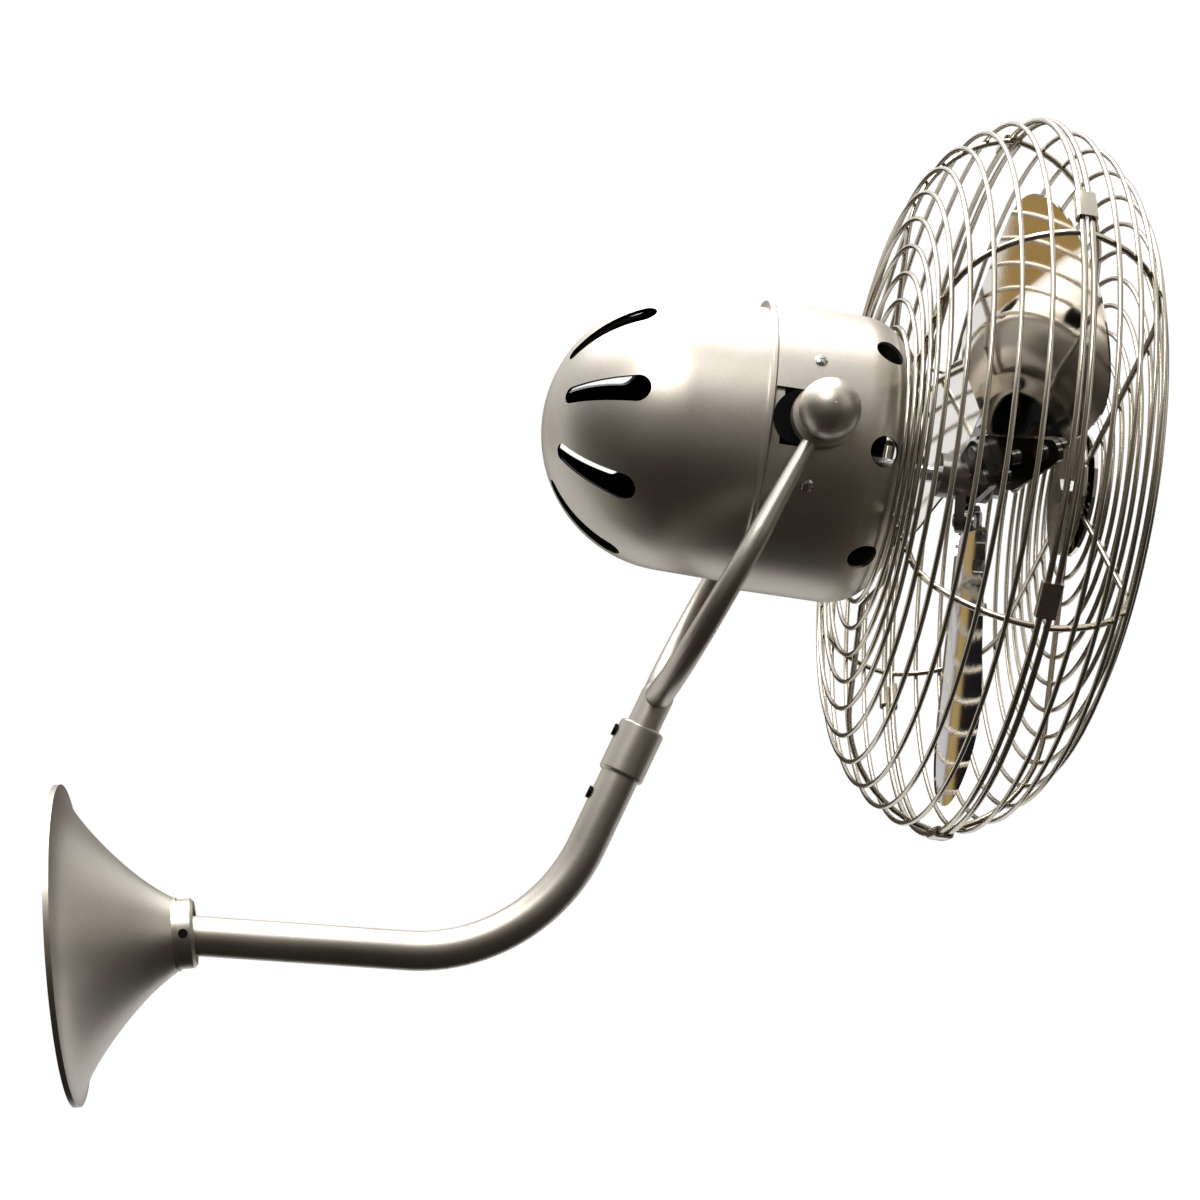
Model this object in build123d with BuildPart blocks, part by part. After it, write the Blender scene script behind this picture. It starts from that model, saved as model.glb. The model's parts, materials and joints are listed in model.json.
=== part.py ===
from build123d import *
import math
import os

# Wall mounted fan: a flared canopy, a bent tube arm, a swivelling yoke and a tilting motor head
# with a domed housing, a two-part wire cage and three pitched metal blades.
# Frame: X comes out of the wall, Y runs sideways along it, Z is up. The origin is the middle of
# the wall plate's back. Millimetres and degrees.

# ---- Wall plate and arm socket ----
plate_diameter = 100.0
plate_thickness = 3.0
wall_hole_diameter = 5.2
wall_hole_spacing = 70.0
cable_hole_diameter = 14.0
flange_diameter = 54.0
flange_thickness = 4.0
socket_diameter = 32.0
socket_length = 26.0
socket_grip = 20.0
flange_screw_circle = 43.0
flange_screw_diameter = 5.0
flange_screw_head = 8.6
flange_screw_head_height = 3.0
flange_screw_count = 3

# ---- Arm tube ----
tube_diameter = 21.3
tube_wall = 1.8
level_run = 58.0
droop = 9.2
arm_run = 191.0
rise = 59.2
rise_run = 110.0
neck_bend_radius = 60.0
elbow_radius = 100.0

# ---- Canopy and its collar ----
canopy_diameter = 170.0
canopy_depth = 57.0
canopy_skin = 1.4
canopy_rim = 3.0
neck_diameter = 40.0
flare_shoulder_depth = 11.0
flare_shoulder_radius = 66.0
flare_waist_depth = 34.0
flare_waist_radius = 38.5
collar_length = 11.0
collar_diameter = 37.0
collar_ring_diameter = 39.0
collar_ring_width = 2.0
collar_chamfer = 1.5
collar_bore_clearance = 2.4
collar_screw_count = 3
collar_screw_diameter = 5.0

# ---- Sleeve that carries the yoke, and its screws ----
sleeve_diameter = 25.4
sleeve_length = 30.0
sleeve_bore_depth = 26.3
sleeve_round = 1.8
spigot_length = 28.0
lock_screw_depth = 8.0
arm_screw_depth = 15.0
small_screw_diameter = 4.0
small_screw_head = 7.0
small_screw_head_height = 1.6

# ---- Yoke ----
stub_diameter = 18.4
stub_engagement = 26.0
crotch_height = 18.5
yoke_lean = 3.6
yoke_reach = 160.0
prong_root_diameter = 15.0
prong_middle_diameter = 12.0
prong_tip_diameter = 8.0
prong_seat_depth = 3.0
eye_diameter = 34.0
eye_thickness = 8.0

# ---- Tilt pivot: boss, washer, bolt and knob ----
head_tilt = 12.8
boss_diameter = 22.0
boss_reach = 2.5
washer_diameter = 32.0
washer_thickness = 1.7
bolt_diameter = 10.0
bolt_grip = 14.0
knob_diameter = 32.6
knob_foot_diameter = 22.0
knob_foot_height = 1.5

# ---- Motor housing, distances along the fan axis from the pivot ----
shell_radius = 81.5
dome_step = 4.5
dome_centre = -66.0
skirt_step = 3.5
seam = -25.0
bead_height = 1.3
bead_width = 3.6
lip_length = 5.0
nose = 57.0
nose_round = 30.0
nose_bore_diameter = 64.0
shell_wall = 2.0
slot_count = 8
slot_turn = 4.5
slot_polar_angle = 50.0
slot_half_length = 28.0
slot_inner_width = 9.5
slot_outer_width = 15.0
vent_count = 8
vent_diameter = 17.0
vent_lean = 20.0
vent_turn = -8.0
notch_width = 31.4
shield_diameter = 30.8
shield_reach = 9.5
shield_depth = 9.5
shield_thickness = 2.0
side_screw_angle = 25.0
side_screw_place = -2.0
side_screw_length = 9.0
side_post_diameter = 8.0

# ---- Motor ----
frame_radius = 55.0
frame_wall = 3.0
frame_back = -38.0
frame_front = 28.0
bracket_thickness = 2.5
bracket_window_count = 4
bracket_window_width = 30.0
bracket_boss_diameter = 30.0
bearing_diameter = 22.0
bearing_width = 8.0
stator_length = 36.0
stator_centre = -5.0
stator_bore = 55.0
stator_slot_count = 12
stator_slot_width = 6.0
rotor_diameter = 54.0
rotor_length = 40.0
winding_overhang = 12.0
winding_inner_radius = 33.0
winding_outer_radius = 49.0
winding_chamfer = 3.5
shaft_diameter = 10.0
shaft_back = -52.0
shaft_front = 124.0

# ---- Wire cage ----
cage_centre = 106.0
rim_radius = 202.5
rim_wire = 3.2
rim_offset = 2.4
cage_half_depth = 59.0
shoulder_radius = 68.0
ring_pitch = 15.25
ring_wire = 2.4
back_opening_radius = 77.0
front_opening_radius = 46.0
spoke_count = 6
spoke_turn = 27.0
spoke_wire = 3.4
weld = 0.25
back_spoke_step = 3.0
back_spoke_slant = 14.0
mount_ring_outer = 94.0
mount_ring_inner = 72.0
mount_ring_thickness = 2.0
standoff_count = 6
standoff_circle = 82.0
standoff_length = 5.0
standoff_width = 7.0
standoff_bolt_diameter = 4.0
standoff_nut_height = 2.4
centre_disc_diameter = 70.0
centre_disc_thickness = 2.0
front_spoke_end_radius = 14.0
centre_bolt_diameter = 8.0
centre_nut_width = 14.0
centre_nut_height = 5.0
clip_turn = 4.5
clip_length = 14.0
clip_thickness = 1.2
clip_lip = 3.5

# ---- Blades, irons and hub ----
blade_count = 3
blade_turn = 30.0
blade_pitch = 26.0
blade_plane = 107.0
blade_tip_clearance = 15.5
blade_tip_middle = 8.0
blade_thickness = 1.2
blade_arch_radius = 680.0
blade_arch_middle = -25.0
leading_width = 63.0
leading_drop = 65.0
leading_shoulder = (-51.0, 84.0)
leading_root = (-30.0, 20.0)
trailing_root = (30.0, 38.0)
trailing_shoulder = (61.0, 44.0)
trailing_width = 60.0
trailing_drop = 46.0
tip_round_width = 42.0
tip_round_drop = 16.0
root_round = 5.0
heel_round = 18.0
iron_thickness = 3.0
iron_heel = (1.4, 24.4)
iron_toe = (-12.7, 19.4)
iron_elbow = (-24.1, 32.5)
iron_tip = (-46.5, 75.8)
iron_heel_radius = 9.0
iron_toe_radius = 7.5
iron_tip_radius = 6.5
blade_screw_spots = [(-21.5, 28.0), (-22.3, 45.0), (-39.5, 67.0)]
blade_screw_diameter = 4.0
blade_screw_head = 8.0
blade_screw_head_height = 2.4
blade_nut_width = 7.0
blade_nut_height = 2.4
hub_boss_diameter = 25.0
hub_back = 84.0
hub_front = 115.0
hub_pad_thickness = 6.0
hub_pad_round = 7.0
rivet_diameter = 5.0
rivet_head = 8.0
rivet_head_height = 1.5
hub_chamfer = 1.5
hub_nut_width = 16.0
hub_nut_height = 6.0

# ---- Clearances ----
running = 0.05
slip = 0.1
rest_gap = 0.3

# ---- Places that follow from the sizes ----
tube_radius = tube_diameter / 2
tube_bore_radius = tube_radius - tube_wall
socket_face = plate_thickness + flange_thickness
tube_start = socket_face + socket_length - socket_grip
droop_direction = Vector(math.cos(math.radians(droop)), 0, -math.sin(math.radians(droop)))
rise_direction = Vector(math.cos(math.radians(rise)), 0, math.sin(math.radians(rise)))
neck_corner = Vector(level_run, 0, 0)
elbow_corner = neck_corner + droop_direction * arm_run
tube_end = elbow_corner + rise_direction * rise_run
sleeve_top = tube_end + rise_direction * sleeve_length
crotch_in_arm = Location((0, 0, crotch_height), (0, yoke_lean, 0))

arm_frame = Location(tuple(sleeve_top), (0, 90 - rise, 0))
yoke_frame = arm_frame * crotch_in_arm
pivot = (yoke_frame * Location((0, 0, yoke_reach))).position
head_frame = Location(tuple(pivot), (0, head_tilt, 0))

boss_end = shell_radius + boss_reach
blade_tip_radius = rim_radius - blade_tip_clearance
eye_inner_face = boss_end + washer_thickness + rest_gap
eye_outer_face = eye_inner_face + eye_thickness
yoke_half_span = eye_inner_face + eye_thickness / 2
knob_foot_face = eye_outer_face + rest_gap
bolt_radius = bolt_diameter / 2
bolt_start = boss_end - bolt_grip
bolt_end = knob_foot_face + bolt_grip
screw_radius = small_screw_diameter / 2

parts = {}


def keep(name, shape, frame=Location()):
    """Place a finished piece in the wall frame and label it."""
    parts[name] = shape.moved(frame)
    parts[name].label = name


def outward(angle):
    """Direction away from the fan axis, the angle measured from -Y towards +Z."""
    return Vector(0, -math.cos(math.radians(angle)), math.sin(math.radians(angle)))


def ray_plane(x, angle, radius):
    """A sketch plane that faces away from the X axis."""
    return Plane(origin=Vector(x, 0, 0) + outward(angle) * radius, x_dir=(1, 0, 0), z_dir=outward(angle))


# ================= Wall plate, socket and arm tube =================

with BuildPart() as wall_plate:
    with BuildSketch(Plane.YZ):
        Circle(plate_diameter / 2)
        with Locations((0, wall_hole_spacing / 2), (0, -wall_hole_spacing / 2)):
            Circle(wall_hole_diameter / 2, mode=Mode.SUBTRACT)
        Circle(cable_hole_diameter / 2, mode=Mode.SUBTRACT)
        with PolarLocations(flange_screw_circle / 2, flange_screw_count):
            Circle(flange_screw_diameter / 2 + slip, mode=Mode.SUBTRACT)
    extrude(amount=plate_thickness)
keep("wall_plate", wall_plate.part)

with BuildPart() as arm_socket:
    with BuildSketch(Plane.YZ.offset(plate_thickness)):
        Circle(flange_diameter / 2)
    extrude(amount=flange_thickness)
    with BuildSketch(Plane.YZ.offset(socket_face)):
        Circle(socket_diameter / 2)
    extrude(amount=socket_length)
    fillet(arm_socket.edges().filter_by(GeomType.CIRCLE).sort_by(Axis.X)[-1], radius=2)
    with BuildSketch(Plane.YZ.offset(tube_start)):
        Circle(tube_radius + running)
    extrude(amount=socket_grip, mode=Mode.SUBTRACT)
    with BuildSketch(Plane.YZ.offset(plate_thickness)):
        Circle(tube_bore_radius)
        with PolarLocations(flange_screw_circle / 2, flange_screw_count):
            Circle(flange_screw_diameter / 2 + slip)
    extrude(amount=flange_thickness + socket_length, mode=Mode.SUBTRACT)
keep("arm_socket", arm_socket.part)

with BuildPart() as socket_screws:
    with BuildSketch(Plane.YZ.offset(rest_gap)):
        with PolarLocations(flange_screw_circle / 2, flange_screw_count):
            Circle(flange_screw_diameter / 2)
    extrude(amount=socket_face - rest_gap)
    with BuildSketch(Plane.YZ.offset(socket_face)):
        with PolarLocations(flange_screw_circle / 2, flange_screw_count):
            Circle(flange_screw_head / 2)
    extrude(amount=flange_screw_head_height)
keep("socket_screws", socket_screws.part)

with BuildPart() as arm_tube:
    with BuildLine(Plane.XZ):
        arm_path = FilletPolyline(
            (tube_start, 0),
            (neck_corner.X, neck_corner.Z),
            (elbow_corner.X, elbow_corner.Z),
            (tube_end.X, tube_end.Z),
            radius=(neck_bend_radius, elbow_radius),
        )
    with BuildSketch(Plane.YZ.offset(tube_start)):
        Circle(tube_radius)
        Circle(tube_bore_radius, mode=Mode.SUBTRACT)
    sweep(path=arm_path)
    screw_level = arm_frame * Location((0, 0, -sleeve_length - arm_screw_depth), (0, -90, 0))
    with BuildSketch(Plane(screw_level)):
        Circle(screw_radius + slip)
    extrude(amount=tube_diameter, mode=Mode.SUBTRACT)
keep("arm_tube", arm_tube.part)

# ================= Canopy and collar =================

canopy_radius = canopy_diameter / 2
neck_radius = neck_diameter / 2
collar_bore_radius = tube_radius + collar_bore_clearance
flare = [
    (canopy_rim, canopy_radius),
    (flare_shoulder_depth, flare_shoulder_radius),
    (flare_waist_depth, flare_waist_radius),
    (canopy_depth, neck_radius),
]
flare_ends = [(0.12, -1), (1, -0.62)]

with BuildPart() as canopy:
    with BuildSketch(Plane.XZ):
        with BuildLine():
            outside = Spline(*flare, tangents=flare_ends)
            inside = Spline(*[(x - canopy_skin, r - canopy_skin) for x, r in flare], tangents=flare_ends)
            Polyline(
                outside @ 1,
                (canopy_depth, collar_bore_radius),
                (canopy_depth - canopy_skin, collar_bore_radius),
                inside @ 1,
            )
            Polyline(
                inside @ 0,
                (0, canopy_radius - canopy_skin),
                (0, canopy_radius),
                outside @ 0,
            )
        make_face()
    revolve(axis=Axis.X)
keep("canopy", canopy.part)

collar_screw_place = canopy_depth + (collar_ring_width + collar_length - collar_chamfer) / 2
collar_screw_angles = [360 / collar_screw_count * i for i in range(collar_screw_count)]

with BuildPart() as canopy_collar:
    with BuildSketch(Plane.YZ.offset(canopy_depth)):
        Circle(collar_ring_diameter / 2)
    extrude(amount=collar_ring_width)
    with BuildSketch(Plane.YZ.offset(canopy_depth + collar_ring_width)):
        Circle(collar_diameter / 2)
    extrude(amount=collar_length - collar_ring_width)
    chamfer(canopy_collar.edges().filter_by(GeomType.CIRCLE).sort_by(Axis.X)[-1], length=collar_chamfer)
    with BuildSketch(Plane.YZ.offset(canopy_depth)):
        Circle(collar_bore_radius)
    extrude(amount=collar_length, mode=Mode.SUBTRACT)
    for angle in collar_screw_angles:
        with BuildSketch(ray_plane(collar_screw_place, angle, 0)):
            Circle(collar_screw_diameter / 2 + running)
        extrude(amount=collar_ring_diameter, mode=Mode.SUBTRACT)
keep("canopy_collar", canopy_collar.part)

# the tube already droops inside the collar, so each set screw reaches in to its own depth
tube_drop = (collar_screw_place - level_run) * math.tan(math.radians(droop))
collar_screw_end = collar_diameter / 2 - 1

with BuildPart() as collar_screws:
    for angle in collar_screw_angles:
        sideways = tube_drop * math.cos(math.radians(angle))
        tube_surface = math.sqrt(tube_radius**2 - sideways**2) - tube_drop * math.sin(math.radians(angle))
        tip = tube_surface + 2 * rest_gap
        with BuildSketch(ray_plane(collar_screw_place, angle, tip)):
            Circle(collar_screw_diameter / 2)
        extrude(amount=collar_screw_end - tip)
keep("collar_screws", collar_screws.part)

# ================= Sleeve and its screws, drawn upright with the sleeve's top at the origin =========

with BuildPart() as arm_sleeve:
    with BuildSketch(Plane.XY.offset(-sleeve_length)):
        Circle(sleeve_diameter / 2)
    extrude(amount=sleeve_length)
    fillet(arm_sleeve.edges().filter_by(GeomType.CIRCLE), radius=sleeve_round)
    with BuildSketch(Plane.XY.offset(-sleeve_length - spigot_length)):
        Circle(tube_bore_radius - running)
    extrude(amount=spigot_length + 1)
    with BuildSketch(Plane.XY):
        Circle(stub_diameter / 2 + running)
    extrude(amount=-sleeve_bore_depth, mode=Mode.SUBTRACT)
    with BuildSketch(Plane.YZ):
        with Locations((0, -lock_screw_depth), (0, -sleeve_length - arm_screw_depth)):
            Circle(screw_radius + running)
    extrude(amount=-sleeve_diameter, mode=Mode.SUBTRACT)
keep("arm_sleeve", arm_sleeve.part, arm_frame)

# the lock screw bears on the stub, the arm screw holds the tube on the spigot
rear_screws = (
    (lock_screw_depth, stub_diameter / 2 + rest_gap, sleeve_diameter / 2 + slip),
    (sleeve_length + arm_screw_depth, tube_bore_radius / 2, tube_radius + slip),
)

with BuildPart() as arm_screws:
    for depth, screw_tip, head_seat in rear_screws:
        with BuildSketch(Plane.YZ.offset(-screw_tip)):
            with Locations((0, -depth)):
                Circle(screw_radius)
        extrude(amount=screw_tip - head_seat)
        with BuildSketch(Plane.YZ.offset(-head_seat)):
            with Locations((0, -depth)):
                Circle(small_screw_head / 2)
        extrude(amount=-small_screw_head_height)
keep("arm_screws", arm_screws.part, arm_frame)

# ================= Yoke, drawn upright with the crotch at the origin =================

prong_end = yoke_reach - eye_diameter / 2 + prong_seat_depth

with BuildPart() as yoke:
    # near prong: a quarter bend out of the stub, then a tapering straight run up to the eye
    with BuildLine(Plane.YZ):
        bend = JernArc(start=(0, 0), tangent=(-1, 0), radius=yoke_half_span, arc_size=-90)
    with BuildSketch(Plane(origin=bend @ 0, z_dir=bend % 0)):
        Circle(prong_root_diameter / 2)
    with BuildSketch(Plane(origin=bend @ 1, z_dir=bend % 1)):
        Circle(prong_middle_diameter / 2)
    sweep(path=bend, multisection=True)
    for height, diameter in ((yoke_half_span, prong_middle_diameter), (prong_end, prong_tip_diameter)):
        with BuildSketch(Plane.XY.offset(height)):
            with Locations((0, -yoke_half_span)):
                Circle(diameter / 2)
    loft()
    with BuildSketch(Plane.XZ.offset(eye_inner_face)):
        with Locations((0, yoke_reach)):
            Circle(eye_diameter / 2)
    extrude(amount=eye_thickness)
    mirror(about=Plane.XZ)
    # the stub stands straight in the sleeve although the prongs lean
    Sphere(stub_diameter / 2)
    with Locations(Location((0, 0, 0), (0, -yoke_lean, 0))):
        Cylinder(
            stub_diameter / 2,
            crotch_height + stub_engagement,
            align=(Align.CENTER, Align.CENTER, Align.MAX),
        )
    with BuildSketch(Plane.XZ.offset(-eye_outer_face)):
        with Locations((0, yoke_reach)):
            Circle(bolt_radius + running)
    extrude(amount=2 * eye_outer_face, mode=Mode.SUBTRACT)
keep("yoke", yoke.part, yoke_frame)

# ================= Tilt pivot, drawn with the pivot at the origin and the fan axis along X =========

with BuildPart() as friction_washers:
    with BuildSketch(Plane.XZ.offset(boss_end)):
        Circle(washer_diameter / 2)
        Circle(bolt_radius + slip, mode=Mode.SUBTRACT)
    extrude(amount=washer_thickness)
    mirror(about=Plane.XZ)
keep("friction_washers", friction_washers.part, head_frame)

with BuildPart() as pivot_bolts:
    with BuildSketch(Plane.XZ.offset(bolt_start)):
        Circle(bolt_radius)
    extrude(amount=bolt_end - bolt_start)
    mirror(about=Plane.XZ)
keep("pivot_bolts", pivot_bolts.part, head_frame)

knob_radius = knob_diameter / 2
ball_lift = math.sqrt(knob_radius**2 - (knob_foot_diameter / 2) ** 2)
ball_foot = -(knob_foot_face + knob_foot_height)
ball_arc = 90 + math.degrees(math.asin(ball_lift / knob_radius))

with BuildPart() as knob:
    with BuildSketch(Plane.XY):
        with BuildLine():
            ball = CenterArc((0, ball_foot - ball_lift), knob_radius, -90, ball_arc)
            Polyline(
                ball @ 1,
                (knob_foot_diameter / 2, -knob_foot_face),
                (bolt_radius + running, -knob_foot_face),
                (bolt_radius + running, -bolt_end - rest_gap),
                (0, -bolt_end - rest_gap),
                ball @ 0,
            )
        make_face()
    revolve(axis=Axis.Y)
keep("near_knob", knob.part, head_frame)
keep("far_knob", mirror(knob.part, about=Plane.XZ), head_frame)

# ================= Motor housing =================

dome_radius = shell_radius - dome_step
skirt_radius = shell_radius - skirt_step
bead_radius = shell_radius + bead_height
lip_radius = shell_radius - shell_wall - rest_gap
bead_start = seam - bead_width
bead_end = seam - slip
cavity_radius = dome_radius - shell_wall

with BuildPart() as rear_shell:
    # the turned profile starts between two slots
    with BuildSketch(Plane.XZ.rotated((slot_turn + 180 / slot_count - 45, 0, 0))):
        with BuildLine():
            crown = JernArc(
                start=(dome_centre - dome_radius, 0), tangent=(0, 1), radius=dome_radius, arc_size=-90
            )
            cavity = JernArc(
                start=(dome_centre, cavity_radius), tangent=(-1, 0), radius=cavity_radius, arc_size=90
            )
            Polyline(
                crown @ 1,
                (bead_start, skirt_radius),
                (bead_start, bead_radius - 1),
                (bead_start + 1, bead_radius),
                (bead_end - 1, bead_radius),
                (bead_end, bead_radius - 1),
                (bead_end, lip_radius),
                (seam + lip_length, lip_radius),
                (seam + lip_length, skirt_radius - shell_wall),
                cavity @ 0,
            )
            Line(cavity @ 1, crown @ 0)
        make_face()
    revolve(axis=Axis.X)
    # cooling slots: round ended, wider towards the skirt, cut square to the dome
    polar = math.radians(slot_polar_angle)
    for i in range(slot_count):
        out = outward(slot_turn + 360 / slot_count * i)
        normal = out * math.sin(polar) - Vector(math.cos(polar), 0, 0)
        along = out * math.cos(polar) + Vector(math.sin(polar), 0, 0)
        slot_centre = Vector(dome_centre, 0, 0) + normal * dome_radius
        with BuildSketch(Plane(origin=slot_centre, x_dir=along, z_dir=normal)):
            with Locations((slot_inner_width / 2 - slot_half_length, 0)):
                Circle(slot_inner_width / 2)
            with Locations((slot_half_length - slot_outer_width / 2, 0)):
                Circle(slot_outer_width / 2)
            make_hull()
        extrude(amount=-dome_radius / 5, mode=Mode.SUBTRACT)
keep("rear_shell", rear_shell.part, head_frame)

shoulder_start = nose - nose_round
shoulder_centre_radius = shell_radius - nose_round
side_screw_angles = [side + turn for side in (0, 180) for turn in (-side_screw_angle, side_screw_angle)]
standoff_ring = PolarLocations(standoff_circle / 2, standoff_count, start_angle=30 - spoke_turn)

with BuildPart() as front_shell:
    with BuildSketch(Plane.XZ):
        with BuildLine():
            outer = JernArc(
                start=(shoulder_start, shell_radius), tangent=(1, 0), radius=nose_round, arc_size=-90
            )
            inner = JernArc(
                start=(nose - shell_wall, shoulder_centre_radius),
                tangent=(0, 1),
                radius=nose_round - shell_wall,
                arc_size=90,
            )
            Polyline(
                outer @ 1,
                (nose, nose_bore_diameter / 2),
                (nose - shell_wall, nose_bore_diameter / 2),
                inner @ 0,
            )
            Polyline(
                inner @ 1,
                (seam, shell_radius - shell_wall),
                (seam, shell_radius),
                outer @ 0,
            )
        make_face()
    revolve(axis=Axis.X)
    # round vents through the shoulder
    for i in range(vent_count):
        out = outward(vent_turn + 360 / vent_count * i)
        normal = out * math.cos(math.radians(vent_lean)) + Vector(math.sin(math.radians(vent_lean)), 0, 0)
        vent_centre = Vector(shoulder_start, 0, 0) + out * shoulder_centre_radius + normal * nose_round
        with BuildSketch(Plane(origin=vent_centre + normal * shell_wall, z_dir=normal)):
            Circle(vent_diameter / 2)
        extrude(amount=-5 * shell_wall, mode=Mode.SUBTRACT)
    # notches that let the shell slide over the pivot bosses
    with BuildSketch(Plane.XZ):
        Circle(notch_width / 2)
        with Locations((seam, 0)):
            Rectangle(-2 * seam, notch_width)
    extrude(amount=shell_radius + 1, both=True, mode=Mode.SUBTRACT)
    for angle in side_screw_angles:
        with BuildSketch(ray_plane(side_screw_place, angle, shell_radius - 2 * shell_wall)):
            Circle(screw_radius + slip)
        extrude(amount=3 * shell_wall, mode=Mode.SUBTRACT)
    with BuildSketch(Plane.YZ.offset(nose)):
        with standoff_ring:
            Circle(standoff_bolt_diameter / 2 + slip)
    extrude(amount=-shell_wall, mode=Mode.SUBTRACT)
keep("front_shell", front_shell.part, head_frame)

with BuildPart() as notch_shields:
    with BuildSketch(Plane.XZ.offset(shell_radius - shield_depth)):
        with Locations((-shield_reach, 0), (0, 0)):
            Circle(shield_diameter / 2)
        make_hull()
        Circle(boss_diameter / 2 + rest_gap, mode=Mode.SUBTRACT)
    extrude(amount=shield_thickness)
    mirror(about=Plane.XZ)
keep("notch_shields", notch_shields.part, head_frame)

# ================= Motor =================

post_end = math.sqrt((shell_radius - shell_wall) ** 2 - (side_post_diameter / 2) ** 2) - slip

with BuildPart() as motor_frame:
    with BuildSketch(Plane.YZ.offset(frame_back)):
        Circle(frame_radius)
    extrude(amount=frame_front - frame_back)
    with BuildSketch(Plane.XZ.offset(-boss_end)):
        Circle(boss_diameter / 2)
    extrude(amount=2 * boss_end)
    for angle in side_screw_angles:
        with BuildSketch(ray_plane(side_screw_place, angle, 0)):
            Circle(side_post_diameter / 2)
        extrude(amount=post_end)
    with BuildSketch(Plane.YZ.offset(frame_back)):
        Circle(frame_radius - frame_wall)
    extrude(amount=frame_front - frame_back, mode=Mode.SUBTRACT)
    with BuildSketch(Plane.XZ.offset(bolt_start - rest_gap)):
        Circle(bolt_radius + running)
    extrude(amount=boss_end, mode=Mode.SUBTRACT)
    with BuildSketch(Plane.XZ.offset(rest_gap - bolt_start)):
        Circle(bolt_radius + running)
    extrude(amount=-boss_end, mode=Mode.SUBTRACT)
    for angle in side_screw_angles:
        with BuildSketch(ray_plane(side_screw_place, angle, shell_radius - side_screw_length - slip)):
            Circle(screw_radius + running)
        extrude(amount=side_screw_length, mode=Mode.SUBTRACT)
keep("motor_frame", motor_frame.part, head_frame)

with BuildPart() as side_screws:
    for angle in side_screw_angles:
        with BuildSketch(ray_plane(side_screw_place, angle, shell_radius + slip - side_screw_length)):
            Circle(screw_radius)
        extrude(amount=side_screw_length)
        with BuildSketch(ray_plane(side_screw_place, angle, shell_radius + slip)):
            Circle(small_screw_head / 2)
        extrude(amount=small_screw_head_height)
keep("side_screws", side_screws.part, head_frame)

stator_start = stator_centre - stator_length / 2
stator_end = stator_centre + stator_length / 2
winding_middle_radius = (winding_inner_radius + winding_outer_radius) / 2
winding_width = winding_outer_radius - winding_inner_radius

with BuildPart() as stator:
    with BuildSketch(Plane.YZ.offset(stator_start)):
        Circle(frame_radius - frame_wall - running)
        Circle(stator_bore / 2, mode=Mode.SUBTRACT)
        with PolarLocations(winding_middle_radius, stator_slot_count):
            Rectangle(winding_width - 2, stator_slot_width, mode=Mode.SUBTRACT)
    extrude(amount=stator_length)
keep("stator", stator.part, head_frame)

with BuildPart() as windings:
    for middle in (stator_start - slip - winding_overhang / 2, stator_end + slip + winding_overhang / 2):
        with BuildSketch(Plane.XZ):
            with Locations((middle, winding_middle_radius)):
                Rectangle(winding_overhang, winding_width)
            chamfer(vertices(), length=winding_chamfer)
        revolve(axis=Axis.X)
keep("windings", windings.part, head_frame)

bearing_radius = bearing_diameter / 2
bracket_boss_radius = bracket_boss_diameter / 2
window_inner = bracket_boss_radius + 2
window_outer = frame_radius - frame_wall - 3

for bracket_name, seat, away in (("rear_bracket", frame_back, -1), ("front_bracket", frame_front, 1)):
    with BuildPart() as bracket:
        with BuildSketch(Plane.YZ.offset(seat)):
            Circle(frame_radius)
            with PolarLocations((window_inner + window_outer) / 2, bracket_window_count, start_angle=45):
                Rectangle(window_outer - window_inner, bracket_window_width, mode=Mode.SUBTRACT)
        extrude(amount=away * bracket_thickness)
        with BuildSketch(Plane.YZ.offset(seat)):
            Circle(bracket_boss_radius)
        extrude(amount=away * (bearing_width + bracket_thickness))
        with BuildSketch(Plane.YZ.offset(seat)):
            Circle(bearing_radius + running)
        extrude(amount=away * bearing_width, mode=Mode.SUBTRACT)
        with BuildSketch(Plane.YZ.offset(seat)):
            Circle(shaft_diameter / 2 + 1)
        extrude(amount=away * (bearing_width + bracket_thickness), mode=Mode.SUBTRACT)
    keep(bracket_name, bracket.part, head_frame)

with BuildPart() as bearings:
    for seat, away in ((frame_back, -1), (frame_front, 1)):
        with BuildSketch(Plane.YZ.offset(seat)):
            Circle(bearing_radius)
            Circle(shaft_diameter / 2 + running, mode=Mode.SUBTRACT)
        extrude(amount=away * bearing_width)
keep("bearings", bearings.part, head_frame)

with BuildPart() as rotor:
    with BuildSketch(Plane.YZ.offset(stator_centre - rotor_length / 2)):
        Circle(rotor_diameter / 2)
        Circle(shaft_diameter / 2 + running, mode=Mode.SUBTRACT)
    extrude(amount=rotor_length)
keep("rotor", rotor.part, head_frame)

with BuildPart() as motor_shaft:
    with BuildSketch(Plane.YZ.offset(shaft_back)):
        Circle(shaft_diameter / 2)
    extrude(amount=shaft_front - shaft_back)
    chamfer(motor_shaft.edges().filter_by(GeomType.CIRCLE), length=1)
keep("motor_shaft", motor_shaft.part, head_frame)

# ================= Wire cage =================

# In section the cage wires follow a flat face, then one big round that reaches the rim.
round_angle = math.acos(1 - (cage_half_depth - rim_offset) / shoulder_radius)
round_length = shoulder_radius * round_angle
flat_radius = rim_radius - shoulder_radius * math.sin(round_angle)
back_ring_count = int((round_length + flat_radius - back_opening_radius) / ring_pitch)
front_ring_count = int((round_length + flat_radius - front_opening_radius) / ring_pitch)
spoke_inset = (ring_wire + spoke_wire) / 2 - weld


def ring_station(number):
    """Distance from the rim plane and radius of a ring, counted from the rim along the section."""
    walked = number * ring_pitch
    if walked > round_length:
        return cage_half_depth, flat_radius - (walked - round_length)
    angle = round_angle - walked / shoulder_radius
    depth = cage_half_depth - shoulder_radius * (1 - math.cos(angle))
    return depth, flat_radius + shoulder_radius * math.sin(angle)


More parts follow.
